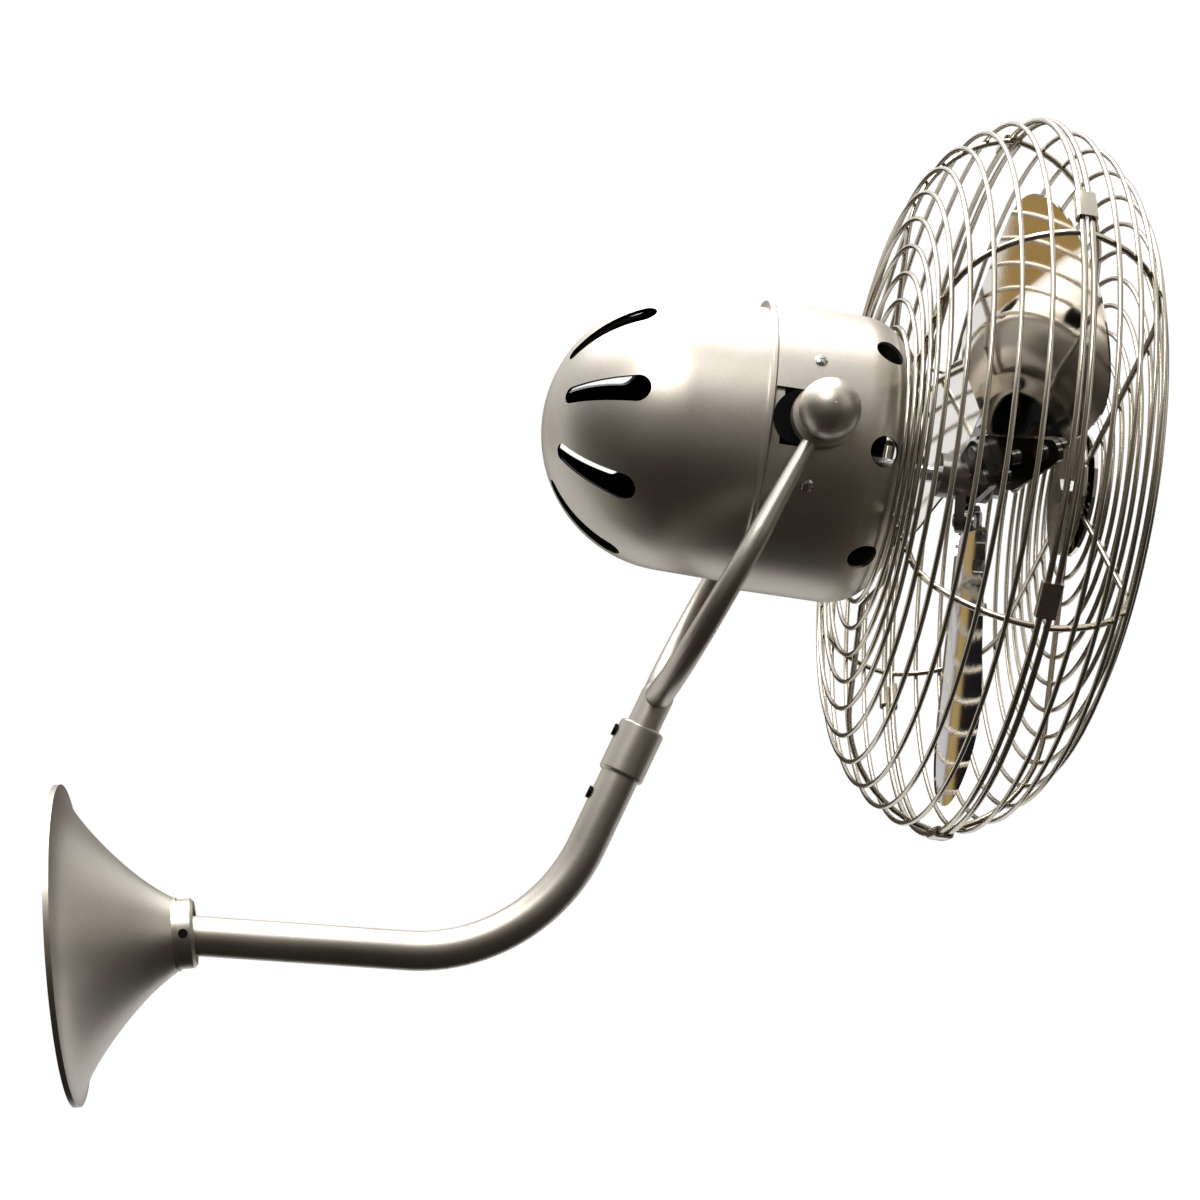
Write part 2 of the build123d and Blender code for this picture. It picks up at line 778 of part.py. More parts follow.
def guard_rings(facing, ring_count):
    """The rim wire and rings of one guard. Facing is -1 for the back and 1 for the front."""
    with BuildPart() as rings:
        with BuildSketch(Plane.XZ):
            for number in range(ring_count + 1):
                depth, radius = ring_station(number)
                wire = ring_wire if number else rim_wire
                with Locations((cage_centre + facing * depth, radius)):
                    Rectangle(wire, wire)
        revolve(axis=Axis.X)
    return rings.part


def guard_spoke(facing, tail):
    """One spoke above the axis: from the rim round inside the rings, then along its tail points."""
    with BuildPart() as spoke:
        with BuildLine(Plane.XZ) as path:
            rounded = CenterArc(
                (cage_centre + facing * (cage_half_depth - shoulder_radius), flat_radius),
                shoulder_radius - spoke_inset,
                90 - facing * (90 - math.degrees(round_angle)),
                -facing * math.degrees(round_angle),
            )
            Polyline(rounded @ 1, *tail)
        with BuildSketch(Plane(origin=rounded @ 0, x_dir=(0, 1, 0), z_dir=rounded % 0)):
            Rectangle(spoke_wire, spoke_wire)
        sweep(path=path.wires()[0], transition=Transition.RIGHT)
    return spoke.part


spoke_angles = [spoke_turn + 360 / spoke_count * i for i in range(spoke_count)]
mount_face = nose + standoff_length
back_spoke_face = cage_centre - cage_half_depth + spoke_inset
back_foot_face = mount_face - spoke_wire / 2 + weld
back_bend_radius = back_opening_radius + back_spoke_step
back_spoke = guard_spoke(-1, [
    (back_spoke_face, back_bend_radius),
    (back_foot_face, back_bend_radius - back_spoke_slant),
    (back_foot_face, (mount_ring_outer + mount_ring_inner) / 4),
])

with BuildPart() as rear_guard:
    add(guard_rings(-1, back_ring_count))
    with BuildSketch(Plane.YZ.offset(mount_face)):
        Circle(mount_ring_outer / 2)
        Circle(mount_ring_inner / 2, mode=Mode.SUBTRACT)
        with standoff_ring:
            Circle(standoff_bolt_diameter / 2 + slip, mode=Mode.SUBTRACT)
    extrude(amount=mount_ring_thickness)
    for angle in spoke_angles:
        add(back_spoke.rotate(Axis.X, 90 - angle))
keep("rear_guard", rear_guard.part, head_frame)

front_spoke_face = cage_centre + cage_half_depth - spoke_inset
front_spoke = guard_spoke(1, [(front_spoke_face, front_spoke_end_radius)])

with BuildPart() as front_guard:
    add(guard_rings(1, front_ring_count))
    for angle in spoke_angles:
        add(front_spoke.rotate(Axis.X, 90 - angle))
keep("front_guard", front_guard.part, head_frame)

with BuildPart() as guard_standoffs:
    with BuildSketch(Plane.YZ.offset(nose - shell_wall)):
        with standoff_ring:
            Circle(standoff_bolt_diameter / 2)
    extrude(amount=shell_wall + standoff_length + mount_ring_thickness + standoff_nut_height)
    for face, height in ((nose, standoff_length), (mount_face + mount_ring_thickness, standoff_nut_height)):
        with BuildSketch(Plane.YZ.offset(face)):
            with standoff_ring:
                RegularPolygon(standoff_width / 2, 6, major_radius=False)
        extrude(amount=height)
keep("guard_standoffs", guard_standoffs.part, head_frame)

disc_faces = (
    front_spoke_face + spoke_wire / 2 + slip,
    front_spoke_face - spoke_wire / 2 - slip - centre_disc_thickness,
)

with BuildPart() as centre_discs:
    for face in disc_faces:
        with BuildSketch(Plane.YZ.offset(face)):
            Circle(centre_disc_diameter / 2)
            Circle(centre_bolt_diameter / 2 + slip, mode=Mode.SUBTRACT)
        extrude(amount=centre_disc_thickness)
keep("centre_discs", centre_discs.part, head_frame)

bolt_head_face = disc_faces[1] - slip - centre_nut_height
bolt_nut_face = disc_faces[0] + centre_disc_thickness + slip

with BuildPart() as centre_bolt:
    for face in (bolt_head_face, bolt_nut_face):
        with BuildSketch(Plane.YZ.offset(face)):
            RegularPolygon(centre_nut_width / 2, 6, major_radius=False)
        extrude(amount=centre_nut_height)
    with BuildSketch(Plane.YZ.offset(bolt_head_face)):
        Circle(centre_bolt_diameter / 2)
    extrude(amount=bolt_nut_face - bolt_head_face)
keep("centre_bolt", centre_bolt.part, head_frame)

# ---- Clips: a strap bent round both rim wires, open towards the axis ----
clip_inner_width = 2 * rim_offset + rim_wire + 2 * rest_gap
clip_inner_height = rim_wire + 2 * rest_gap
clip_outer_width = clip_inner_width + 2 * clip_thickness
clip_arc = math.degrees(clip_length / rim_radius)

with BuildPart() as clip:
    with BuildSketch(Plane.XZ):
        with Locations((cage_centre, rim_radius)):
            Rectangle(clip_outer_width, clip_inner_height + 2 * clip_thickness)
            Rectangle(clip_inner_width, clip_inner_height, mode=Mode.SUBTRACT)
        with Locations((cage_centre, rim_radius - rim_wire)):
            Rectangle(clip_outer_width - 2 * clip_lip, rim_wire, mode=Mode.SUBTRACT)
    revolve(axis=Axis.X, revolution_arc=clip_arc)

with BuildPart() as guard_clips:
    for angle in spoke_angles:
        add(clip.part.rotate(Axis.X, 90 - angle - clip_turn - clip_arc / 2))
keep("guard_clips", guard_clips.part, head_frame)

# ================= Blades, drawn standing on the axis with the chord along Y =================

blade_angles = [blade_turn + 360 / blade_count * i for i in range(blade_count)]
half_chord = trailing_width - blade_arch_middle + root_round
trailing_level = blade_tip_radius - trailing_drop


def arch(across):
    """How far the arched sheet has come forward at a place along the chord."""
    return blade_arch_radius - math.sqrt(blade_arch_radius**2 - (across - blade_arch_middle) ** 2)


def all_blades(piece):
    """Copies of a piece that was drawn on an upright blade, pitched and turned to every blade."""
    pitched = piece.rotate(Axis.Z, blade_pitch)
    return [pitched.rotate(Axis.X, 90 - angle).moved(Location((blade_plane, 0, 0))) for angle in blade_angles]


with BuildPart() as blade:
    with BuildSketch(Plane.XY):
        edge_rise = arch(blade_arch_middle + half_chord)
        with BuildLine():
            rear = ThreePointArc(
                (edge_rise, blade_arch_middle - half_chord),
                (0, blade_arch_middle),
                (edge_rise, blade_arch_middle + half_chord),
            )
            face = ThreePointArc(
                (edge_rise + blade_thickness, blade_arch_middle - half_chord),
                (blade_thickness, blade_arch_middle),
                (edge_rise + blade_thickness, blade_arch_middle + half_chord),
            )
            Line(rear @ 0, face @ 0)
            Line(rear @ 1, face @ 1)
        make_face()
    extrude(amount=blade_tip_radius + 1)
    with BuildSketch(Plane.YZ.offset(-blade_thickness)):
        with BuildLine():
            Polyline(leading_shoulder, leading_root, trailing_root, trailing_shoulder,
                     (trailing_width, trailing_level))
            Spline(
                (trailing_width, trailing_level),
                (blade_tip_middle + tip_round_width, blade_tip_radius - tip_round_drop),
                (blade_tip_middle, blade_tip_radius),
                (blade_tip_middle - tip_round_width, blade_tip_radius - tip_round_drop),
                (-leading_width, blade_tip_radius - leading_drop),
                leading_shoulder,
                tangents=[
                    (Vector(trailing_width, trailing_level) - Vector(*trailing_shoulder)).normalized(),
                    (Vector(*leading_root) - Vector(*leading_shoulder)).normalized(),
                ],
                tangent_scalars=(1, 1),
            )
        make_face()
        fillet(vertices().sort_by(Axis.Y)[0], radius=root_round)
        heel = vertices().filter_by_position(Axis.Y, trailing_root[1], trailing_shoulder[1])
        fillet(heel, radius=heel_round)
        with Locations(*blade_screw_spots):
            Circle(blade_screw_diameter / 2 + slip, mode=Mode.SUBTRACT)
    extrude(amount=edge_rise + 3 * blade_thickness, mode=Mode.INTERSECT)

with BuildPart() as blades:
    add(all_blades(blade.part))
keep("blades", blades.part, head_frame)

# ================= Blade irons, hub and their fasteners =================

iron_back = -slip - iron_thickness
pad_face = iron_back - slip
pad_back = pad_face - hub_pad_thickness
rivet_spots = [iron_toe, iron_heel]

with BuildPart() as iron:
    with BuildSketch(Plane.YZ.offset(iron_back)):
        with Locations(iron_heel, iron_elbow):
            Circle(iron_heel_radius)
        with Locations(iron_toe):
            Circle(iron_toe_radius)
        with Locations(iron_tip):
            Circle(iron_tip_radius)
        make_hull()
        with Locations(*blade_screw_spots):
            Circle(blade_screw_diameter / 2 + slip, mode=Mode.SUBTRACT)
        with Locations(*rivet_spots):
            Circle(rivet_diameter / 2 + slip, mode=Mode.SUBTRACT)
    extrude(amount=iron_thickness)

with BuildPart() as blade_irons:
    add(all_blades(iron.part))
keep("blade_irons", blade_irons.part, head_frame)

with BuildPart() as blade_screw_set:
    head_seat = iron_back - 2 * slip
    for across, out in blade_screw_spots:
        nut_seat = arch(across) + blade_thickness + 2 * slip
        with BuildSketch(Plane.YZ.offset(head_seat)):
            with Locations((across, out)):
                Circle(blade_screw_head / 2)
        extrude(amount=-blade_screw_head_height)
        with BuildSketch(Plane.YZ.offset(head_seat)):
            with Locations((across, out)):
                Circle(blade_screw_diameter / 2)
        extrude(amount=nut_seat - head_seat)
        with BuildSketch(Plane.YZ.offset(nut_seat)):
            with Locations((across, out)):
                RegularPolygon(blade_nut_width / 2, 6, major_radius=False)
        extrude(amount=blade_nut_height)

with BuildPart() as blade_screws:
    add(all_blades(blade_screw_set.part))
keep("blade_screws", blade_screws.part, head_frame)

# one pad behind each iron, hulled round the boss and the two rivets
with BuildPart() as hub_pad:
    with BuildSketch(Plane.YZ.offset(pad_face)):
        Circle(hub_boss_diameter / 2)
        with Locations(*rivet_spots):
            Circle(hub_pad_round)
        make_hull()
    extrude(amount=-hub_pad_thickness)

with BuildPart() as rivet_hole_set:
    with BuildSketch(Plane.YZ.offset(pad_back - slip)):
        with Locations(*rivet_spots):
            Circle(rivet_diameter / 2 + slip)
    extrude(amount=hub_pad_thickness + 2 * slip)

with BuildPart() as blade_hub:
    with BuildSketch(Plane.YZ.offset(hub_back)):
        Circle(hub_boss_diameter / 2)
    extrude(amount=hub_front - hub_back)
    chamfer(blade_hub.faces().filter_by(Axis.X).group_by(Axis.X)[-1].edges(), length=hub_chamfer)
    add(all_blades(hub_pad.part))
    add(all_blades(rivet_hole_set.part), mode=Mode.SUBTRACT)
    with BuildSketch(Plane.YZ.offset(hub_back)):
        Circle(shaft_diameter / 2 + running)
    extrude(amount=hub_front - hub_back, mode=Mode.SUBTRACT)
keep("blade_hub", blade_hub.part, head_frame)

with BuildPart() as rivet_set:
    rivet_back = pad_back - slip
    with BuildSketch(Plane.YZ.offset(rivet_back)):
        with Locations(*rivet_spots):
            Circle(rivet_diameter / 2)
    extrude(amount=-rivet_back)
    for face, height in ((rivet_back, -rivet_head_height), (0, rivet_head_height)):
        with BuildSketch(Plane.YZ.offset(face)):
            with Locations(*rivet_spots):
                Circle(rivet_head / 2)
        extrude(amount=height)

with BuildPart() as hub_rivets:
    add(all_blades(rivet_set.part))
keep("hub_rivets", hub_rivets.part, head_frame)

with BuildPart() as hub_nut:
    with BuildSketch(Plane.YZ.offset(hub_front + slip)):
        RegularPolygon(hub_nut_width / 2, 6, major_radius=False)
        Circle(shaft_diameter / 2 + running, mode=Mode.SUBTRACT)
    extrude(amount=hub_nut_height)
keep("hub_nut", hub_nut.part, head_frame)

os.makedirs("parts", exist_ok=True)
for name, shape in parts.items():
    export_step(shape, "parts/" + name + ".step")
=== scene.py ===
# %% [markdown]
# # A wall mounted fan
# The fan hangs on the wall by a flared canopy. A bent tube arm carries a fork, and the fork carries
# a domed motor with a round wire cage and three polished blades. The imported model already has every
# piece at its true size, in metres: X comes out of the wall, Y runs along it and Z is up. This
# lesson gives the pieces their metal, winds the cage from round wire, and lights the fan.

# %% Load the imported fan
import json
import math

import bpy
from mathutils import Matrix, Vector

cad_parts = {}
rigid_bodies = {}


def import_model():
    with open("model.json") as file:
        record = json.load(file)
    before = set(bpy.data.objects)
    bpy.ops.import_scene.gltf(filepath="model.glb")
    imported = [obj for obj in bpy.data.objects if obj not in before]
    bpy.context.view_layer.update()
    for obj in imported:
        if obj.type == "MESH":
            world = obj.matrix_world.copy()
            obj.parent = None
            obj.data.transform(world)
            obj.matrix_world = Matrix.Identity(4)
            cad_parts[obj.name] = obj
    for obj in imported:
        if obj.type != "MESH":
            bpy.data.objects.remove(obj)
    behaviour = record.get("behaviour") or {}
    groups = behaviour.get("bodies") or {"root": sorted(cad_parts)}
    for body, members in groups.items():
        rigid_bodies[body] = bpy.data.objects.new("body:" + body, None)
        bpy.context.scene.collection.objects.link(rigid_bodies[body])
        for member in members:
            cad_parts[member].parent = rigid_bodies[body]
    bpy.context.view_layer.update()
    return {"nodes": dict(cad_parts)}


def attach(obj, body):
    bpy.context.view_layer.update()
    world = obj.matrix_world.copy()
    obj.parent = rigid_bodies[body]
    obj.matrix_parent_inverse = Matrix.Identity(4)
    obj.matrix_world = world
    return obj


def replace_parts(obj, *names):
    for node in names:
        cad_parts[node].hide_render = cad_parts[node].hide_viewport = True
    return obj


for leftover in list(bpy.data.objects):
    bpy.data.objects.remove(leftover)
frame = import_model()
nodes = frame["nodes"]
scene = bpy.context.scene
print("Pieces in the packed fan:", len(nodes))

# %% [markdown]
# ## The camera
# The fan is seen from the side and a little from below, from about 1.3 m. A camera can be turned by
# hand until the outlines agree, or its direction can be written as three angles. The angles are
# kept here because they can be read and changed one at a time: yaw, pitch, and a slight roll.

# %% Camera
camera_place = Vector((0.16002, -1.26603, -0.01732))
yaw, pitch, roll = 0.111, 0.140, 0.093
ahead = Vector((math.sin(yaw) * math.cos(pitch), math.cos(yaw) * math.cos(pitch), math.sin(pitch)))
level_right = Vector((math.cos(yaw), -math.sin(yaw), 0))
level_up = level_right.cross(ahead)
right = math.cos(roll) * level_right - math.sin(roll) * level_up
up = math.sin(roll) * level_right + math.cos(roll) * level_up

camera_data = bpy.data.cameras.new("camera")
camera_data.sensor_width = 36.0
camera_data.lens = 69.54
camera = bpy.data.objects.new("camera", camera_data)
scene.collection.objects.link(camera)
turn = Matrix((right, up, -ahead)).transposed().to_4x4()
camera.matrix_world = Matrix.Translation(camera_place) @ turn
scene.camera = camera
print("Camera looks along", tuple(round(v, 3) for v in ahead))

# %% [markdown]
# ## Node helpers
# Every finish below is a small tree of nodes. A few helpers keep them short: they start a material
# with its Principled BSDF, add a node and set its inputs, do a sum, make a colour ramp, and make or
# place a group.

# %% Helpers for materials
def new_finish(name):
    """An empty node material with a Principled BSDF joined to its output."""
    finish = bpy.data.materials.new(name)
    finish.use_nodes = True
    tree = finish.node_tree
    tree.nodes.clear()
    surface = tree.nodes.new("ShaderNodeBsdfPrincipled")
    output = tree.nodes.new("ShaderNodeOutputMaterial")
    tree.links.new(surface.outputs["BSDF"], output.inputs["Surface"])
    return finish, tree, surface


def add_node(tree, kind, settings=None, **inputs):
    """A node of that kind, with its settings and the values or links of its inputs."""
    node = tree.nodes.new(kind)
    for setting, value in (settings or {}).items():
        setattr(node, setting, value)
    for socket_name, value in inputs.items():
        socket = node.inputs[socket_name.replace("_", " ")]
        if isinstance(value, bpy.types.NodeSocket):
            tree.links.new(value, socket)
        else:
            socket.default_value = value
    return node


def math_node(tree, operation, first, second):
    """A Math node of two inputs, each a number or a socket."""
    node = tree.nodes.new("ShaderNodeMath")
    node.operation = operation
    for place, value in enumerate((first, second)):
        if isinstance(value, bpy.types.NodeSocket):
            tree.links.new(value, node.inputs[place])
        else:
            node.inputs[place].default_value = value
    return node.outputs[0]


def ramp(tree, factor, stops):
    """A Color Ramp with stops of (place, colour)."""
    node = tree.nodes.new("ShaderNodeValToRGB")
    tree.links.new(factor, node.inputs["Fac"])
    elements = node.color_ramp.elements
    elements[0].position, elements[0].color = stops[0][0], (*stops[0][1], 1)
    elements[1].position, elements[1].color = stops[-1][0], (*stops[-1][1], 1)
    for place, colour in stops[1:-1]:
        elements.new(place).color = (*colour, 1)
    return node.outputs["Color"]


def new_group(name, inputs, outputs):
    """A shader node group with float or vector inputs and float outputs."""
    group = bpy.data.node_groups.new(name, "ShaderNodeTree")
    for socket_name, kind, value in inputs:
        socket = group.interface.new_socket(socket_name, in_out="INPUT", socket_type=kind)
        if value is not None:
            socket.default_value = value
    for socket_name in outputs:
        group.interface.new_socket(socket_name, in_out="OUTPUT", socket_type="NodeSocketFloat")
    entry = group.nodes.new("NodeGroupInput")
    leave = group.nodes.new("NodeGroupOutput")
    return group, entry, leave


def place_group(tree, group, **inputs):
    """A node group placed in a material, with its own values."""
    node = tree.nodes.new("ShaderNodeGroup")
    node.node_tree = group
    for socket_name, value in inputs.items():
        socket = node.inputs[socket_name.replace("_", " ")]
        if isinstance(value, bpy.types.NodeSocket):
            tree.links.new(value, socket)
        else:
            socket.default_value = value
    return node


# %% [markdown]
# ## Shared effects
# Satin nickel is blasted with fine beads before it is plated, so it has a very fine, even grain and
# broad, barely visible clouds where hands have been. Turned parts keep fine rings from the lathe.
# Each of these effects is one node group, so every metal can use it with its own strength.

# %% Group: bead blasted grain and clouds
blasted, entry, leave = new_group(
    "blasted_grain",
    [("Vector", "NodeSocketVector", None), ("Grain Size", "NodeSocketFloat", 1400.0),
     ("Cloud Size", "NodeSocketFloat", 14.0)],
    ["Grain", "Cloud"],
)
grain_noise = add_node(blasted, "ShaderNodeTexNoise", {"noise_dimensions": "3D"},
                       Vector=entry.outputs["Vector"], Scale=entry.outputs["Grain Size"],
                       Detail=2.0, Roughness=0.6)
cloud_noise = add_node(blasted, "ShaderNodeTexNoise", {"noise_dimensions": "3D"},
                       Vector=entry.outputs["Vector"], Scale=entry.outputs["Cloud Size"],
                       Detail=4.0, Roughness=0.55)
blasted.links.new(grain_noise.outputs["Fac"], leave.inputs["Grain"])
blasted.links.new(cloud_noise.outputs["Fac"], leave.inputs["Cloud"])

# %% Group: rings from the lathe, round the X axis of its vector
turned, entry, leave = new_group(
    "turned_rings",
    [("Vector", "NodeSocketVector", None), ("Ring Size", "NodeSocketFloat", 900.0)],
    ["Rings"],
)
parts_of = add_node(turned, "ShaderNodeSeparateXYZ", Vector=entry.outputs["Vector"])
sideways = math_node(turned, "POWER", parts_of.outputs["Y"], 2.0)
upwards = math_node(turned, "POWER", parts_of.outputs["Z"], 2.0)
radius = math_node(turned, "SQRT", math_node(turned, "ADD", sideways, upwards), 0.5)
ring_place = add_node(turned, "ShaderNodeCombineXYZ", X=parts_of.outputs["X"], Y=radius)
ring_noise = add_node(turned, "ShaderNodeTexNoise", {"noise_dimensions": "2D"},
                      Vector=ring_place.outputs["Vector"], Scale=entry.outputs["Ring Size"],
                      Detail=3.0, Roughness=0.7)
turned.links.new(ring_noise.outputs["Fac"], leave.inputs["Rings"])

# %% Group: worn edges, where the rounded normal leaves the flat one
worn, entry, leave = new_group(
    "edge_wear",
    [("Vector", "NodeSocketVector", None), ("Width", "NodeSocketFloat", 0.0012)],
    ["Edge"],
)
round_edge = worn.nodes.new("ShaderNodeBevel")
round_edge.samples = 4
worn.links.new(entry.outputs["Width"], round_edge.inputs["Radius"])
flat_normal = worn.nodes.new("ShaderNodeNewGeometry")
agreement = worn.nodes.new("ShaderNodeVectorMath")
agreement.operation = "DOT_PRODUCT"
worn.links.new(round_edge.outputs["Normal"], agreement.inputs[0])
worn.links.new(flat_normal.outputs["Normal"], agreement.inputs[1])
edge = math_node(worn, "MULTIPLY", math_node(worn, "SUBTRACT", 1.0, agreement.outputs["Value"]), 6.0)
patchy = add_node(worn, "ShaderNodeTexNoise", Vector=entry.outputs["Vector"], Scale=160.0, Detail=3.0)
edge = math_node(worn, "MULTIPLY", edge, patchy.outputs["Fac"])
limited = worn.nodes.new("ShaderNodeClamp")
worn.links.new(edge, limited.inputs["Value"])
worn.links.new(limited.outputs["Result"], leave.inputs["Edge"])
print("Shared effects:", [group.name for group in bpy.data.node_groups])

# %% [markdown]
# ## Where the motor stands
# The housing, cage and blades are all round about the fan's own axis, which points 12.8 degrees
# down. Patterns and new pieces for them are made in that frame: its origin is the tilt pivot and
# its X axis is the fan's axis.

# %% The head's frame
HEAD_TILT = math.radians(12.8)
PIVOT = Vector((0.418097, 0.0, 0.237626))
head = Matrix.Translation(PIVOT) @ Matrix.Rotation(HEAD_TILT, 4, "Y")


def head_vector(tree):
    """Object coordinates, moved and turned into the head's frame."""
    place = tree.nodes.new("ShaderNodeTexCoord").outputs["Object"]
    mapping = tree.nodes.new("ShaderNodeMapping")
    mapping.vector_type = "TEXTURE"
    tree.links.new(place, mapping.inputs["Vector"])
    mapping.inputs["Location"].default_value = PIVOT
    mapping.inputs["Rotation"].default_value = (0, HEAD_TILT, 0)
    return mapping.outputs["Vector"]


print("Fan axis:", tuple(round(v, 3) for v in head.to_3x3() @ Vector((1, 0, 0))))

# %% [markdown]
# ## Satin nickel
# The canopy, arm, fork, knobs and housing have one finish: nickel over a bead blasted surface, a
# warm grey with a wide soft highlight. A brushed pattern would be wrong, because the real surface
# shows no strokes. Its colour and roughness drift a little, and edges are rubbed brighter.

# %% Satin nickel
# Near-black painted shade goes inside the housing and on the cut walls of its rear slots.
SLOT_SHIFT = 5.0
PAINTED_SHADE_INSIDE = (0.006, 0.0055, 0.005, 1)


def faces_inwards(tree):
    """Where shade is painted: 1 where the housing looks back at the motor, or is the cut wall of a rear
    slot.
    """
    place = tree.nodes.new("ShaderNodeTexCoord")
    from_middle = tree.nodes.new("ShaderNodeVectorMath")
    from_middle.operation = "SUBTRACT"
    tree.links.new(place.outputs["Object"], from_middle.inputs[0])
    from_middle.inputs[1].default_value = PIVOT
    outwards = tree.nodes.new("ShaderNodeVectorMath")
    outwards.operation = "NORMALIZE"
    tree.links.new(from_middle.outputs["Vector"], outwards.inputs[0])
    agreement = tree.nodes.new("ShaderNodeVectorMath")
    agreement.operation = "DOT_PRODUCT"
    tree.links.new(outwards.outputs["Vector"], agreement.inputs[0])
    tree.links.new(place.outputs["Normal"], agreement.inputs[1])
    parted = add_node(tree, "ShaderNodeSeparateXYZ", Vector=head_vector(tree))
    behind = math_node(tree, "MINIMUM", parted.outputs["X"], 0.0)
    shift = math_node(tree, "MULTIPLY", behind, SLOT_SHIFT)
    shifted = math_node(tree, "ADD", agreement.outputs["Value"], shift)
    inside = add_node(tree, "ShaderNodeMapRange", From_Min=-0.1, From_Max=-0.3)
    tree.links.new(shifted, inside.inputs["Value"])
    return inside.outputs["Result"]


def satin_finish(name, dark, light, rough, grain_bump=0.05, paint_shade_inside=False):
    """Blasted and plated metal in two near colours. A housing gets near-black painted shade inside and on
    its rear slot walls.
    """
    finish, tree, surface = new_finish(name)
    place = tree.nodes.new("ShaderNodeTexCoord").outputs["Object"]
    grain = place_group(tree, blasted, Vector=place)
    edges = place_group(tree, worn, Vector=place)
    tone = ramp(tree, grain.outputs["Cloud"], [(0.3, dark), (0.7, light)])
    fleck = ramp(tree, grain.outputs["Grain"], [(0.35, (0.88, 0.88, 0.88)), (0.65, (1, 1, 1))])
    mixed = add_node(tree, "ShaderNodeMix", {"data_type": "RGBA", "blend_type": "MULTIPLY"})
    mixed.inputs[0].default_value = 1.0
    tree.links.new(tone, mixed.inputs[6])
    tree.links.new(fleck, mixed.inputs[7])
    rubbed = add_node(tree, "ShaderNodeMix", {"data_type": "RGBA"})
    tree.links.new(edges.outputs["Edge"], rubbed.inputs[0])
    tree.links.new(mixed.outputs[2], rubbed.inputs[6])
    rubbed.inputs[7].default_value = tuple(min(1, 1.15 * c) for c in light) + (1,)
    coloured = rubbed.outputs[2]
    # paints near-black shade inside the housing and on the cut walls of its rear slots
    if paint_shade_inside:
        plated = add_node(tree, "ShaderNodeMix", {"data_type": "RGBA"})
        tree.links.new(faces_inwards(tree), plated.inputs[0])
        tree.links.new(coloured, plated.inputs[6])
        plated.inputs[7].default_value = PAINTED_SHADE_INSIDE
        coloured = plated.outputs[2]
    tree.links.new(coloured, surface.inputs["Base Color"])
    surface.inputs["Metallic"].default_value = 1.0
    smooth = math_node(tree, "MULTIPLY", grain.outputs["Cloud"], 0.12)
    base = math_node(tree, "ADD", smooth, rough - 0.06)
    smoothed = math_node(tree, "SUBTRACT", base, math_node(tree, "MULTIPLY", edges.outputs["Edge"], 0.1))
    tree.links.new(smoothed, surface.inputs["Roughness"])
    bump = add_node(tree, "ShaderNodeBump", Strength=grain_bump, Distance=0.0002,
                    Height=grain.outputs["Grain"])
    tree.links.new(bump.outputs["Normal"], surface.inputs["Normal"])
    return finish


NICKEL_DARK = (0.47, 0.43, 0.375)
NICKEL_LIGHT = (0.56, 0.515, 0.455)
satin_nickel = satin_finish("satin_nickel", NICKEL_DARK, NICKEL_LIGHT, 0.40)
# the housing's finish, with painted shade inside it
satin_housing_shaded_inside = satin_finish("satin_housing_shaded_inside", NICKEL_DARK, NICKEL_LIGHT, 0.40, paint_shade_inside=True)
print("Satin nickel colour about 0.5, 0.47, 0.42 at roughness 0.40")

# %% [markdown]
# ## Polished wire, blades and small steel
# The cage is nickel over smooth wire and the blades are polished sheet, so they mirror the studio.
# A perfect mirror looks false: real polish has a faint haze and very fine streaks, which a little
# noise in the roughness and a tiny bump give.

# %% Polished metals
def polished_finish(name, dark, light, rough, haze, streak_stretch, bump_height):
    """Mirror-like metal with haze and fine streaks. The stretch squeezes the streak noise by axis."""
    finish, tree, surface = new_finish(name)
    place = head_vector(tree)
    grain = place_group(tree, blasted, Vector=place, Cloud_Size=22.0)
    stretched = add_node(tree, "ShaderNodeMapping", Vector=place, Scale=streak_stretch)
    streaks = add_node(tree, "ShaderNodeTexNoise", Vector=stretched.outputs["Vector"], Scale=60.0,
                       Detail=4.0, Roughness=0.65)
    tone = ramp(tree, grain.outputs["Cloud"], [(0.3, dark), (0.7, light)])
    tree.links.new(tone, surface.inputs["Base Color"])
    surface.inputs["Metallic"].default_value = 1.0
    cloudy = math_node(tree, "MULTIPLY", grain.outputs["Cloud"], haze)
    streaked = math_node(tree, "MULTIPLY", streaks.outputs["Fac"], haze)
    total = math_node(tree, "ADD", math_node(tree, "ADD", cloudy, streaked), rough - haze)
    tree.links.new(total, surface.inputs["Roughness"])
    bump = add_node(tree, "ShaderNodeBump", Strength=0.2, Distance=bump_height,
                    Height=streaks.outputs["Fac"])
    tree.links.new(bump.outputs["Normal"], surface.inputs["Normal"])
    return finish


polished_wire = polished_finish("polished_wire", (0.46, 0.41, 0.33), (0.60, 0.545, 0.46), 0.20, 0.06,
                                (1, 1, 1), 0.0001)
polished_blade = polished_finish("polished_blade", (0.70, 0.665, 0.62), (0.78, 0.75, 0.71), 0.06, 0.03,
                                 (1, 12, 1), 0.00005)
polished_iron = polished_finish("polished_iron", (0.13, 0.12, 0.115), (0.20, 0.19, 0.18), 0.14, 0.06,
                                (1, 6, 1), 0.00008)
black_screw = polished_finish("black_screw", (0.02, 0.02, 0.022), (0.045, 0.043, 0.042), 0.28, 0.08,
                              (1, 1, 1), 0.0001)
bright_fastener = polished_finish("bright_fastener", (0.42, 0.42, 0.43), (0.56, 0.56, 0.57), 0.14, 0.06,
                                  (8, 1, 1), 0.0001)
print("Polished finishes: wire 0.20, blade 0.06, fasteners 0.14 roughness")

# %% [markdown]
# ## Zinc, steel and castings
# What the canopy and housing hide is left plainer on a real fan. Zinc plate shows pale crystals,
# which a Voronoi pattern gives, castings are dull and pitted, and ground steel keeps lathe rings.

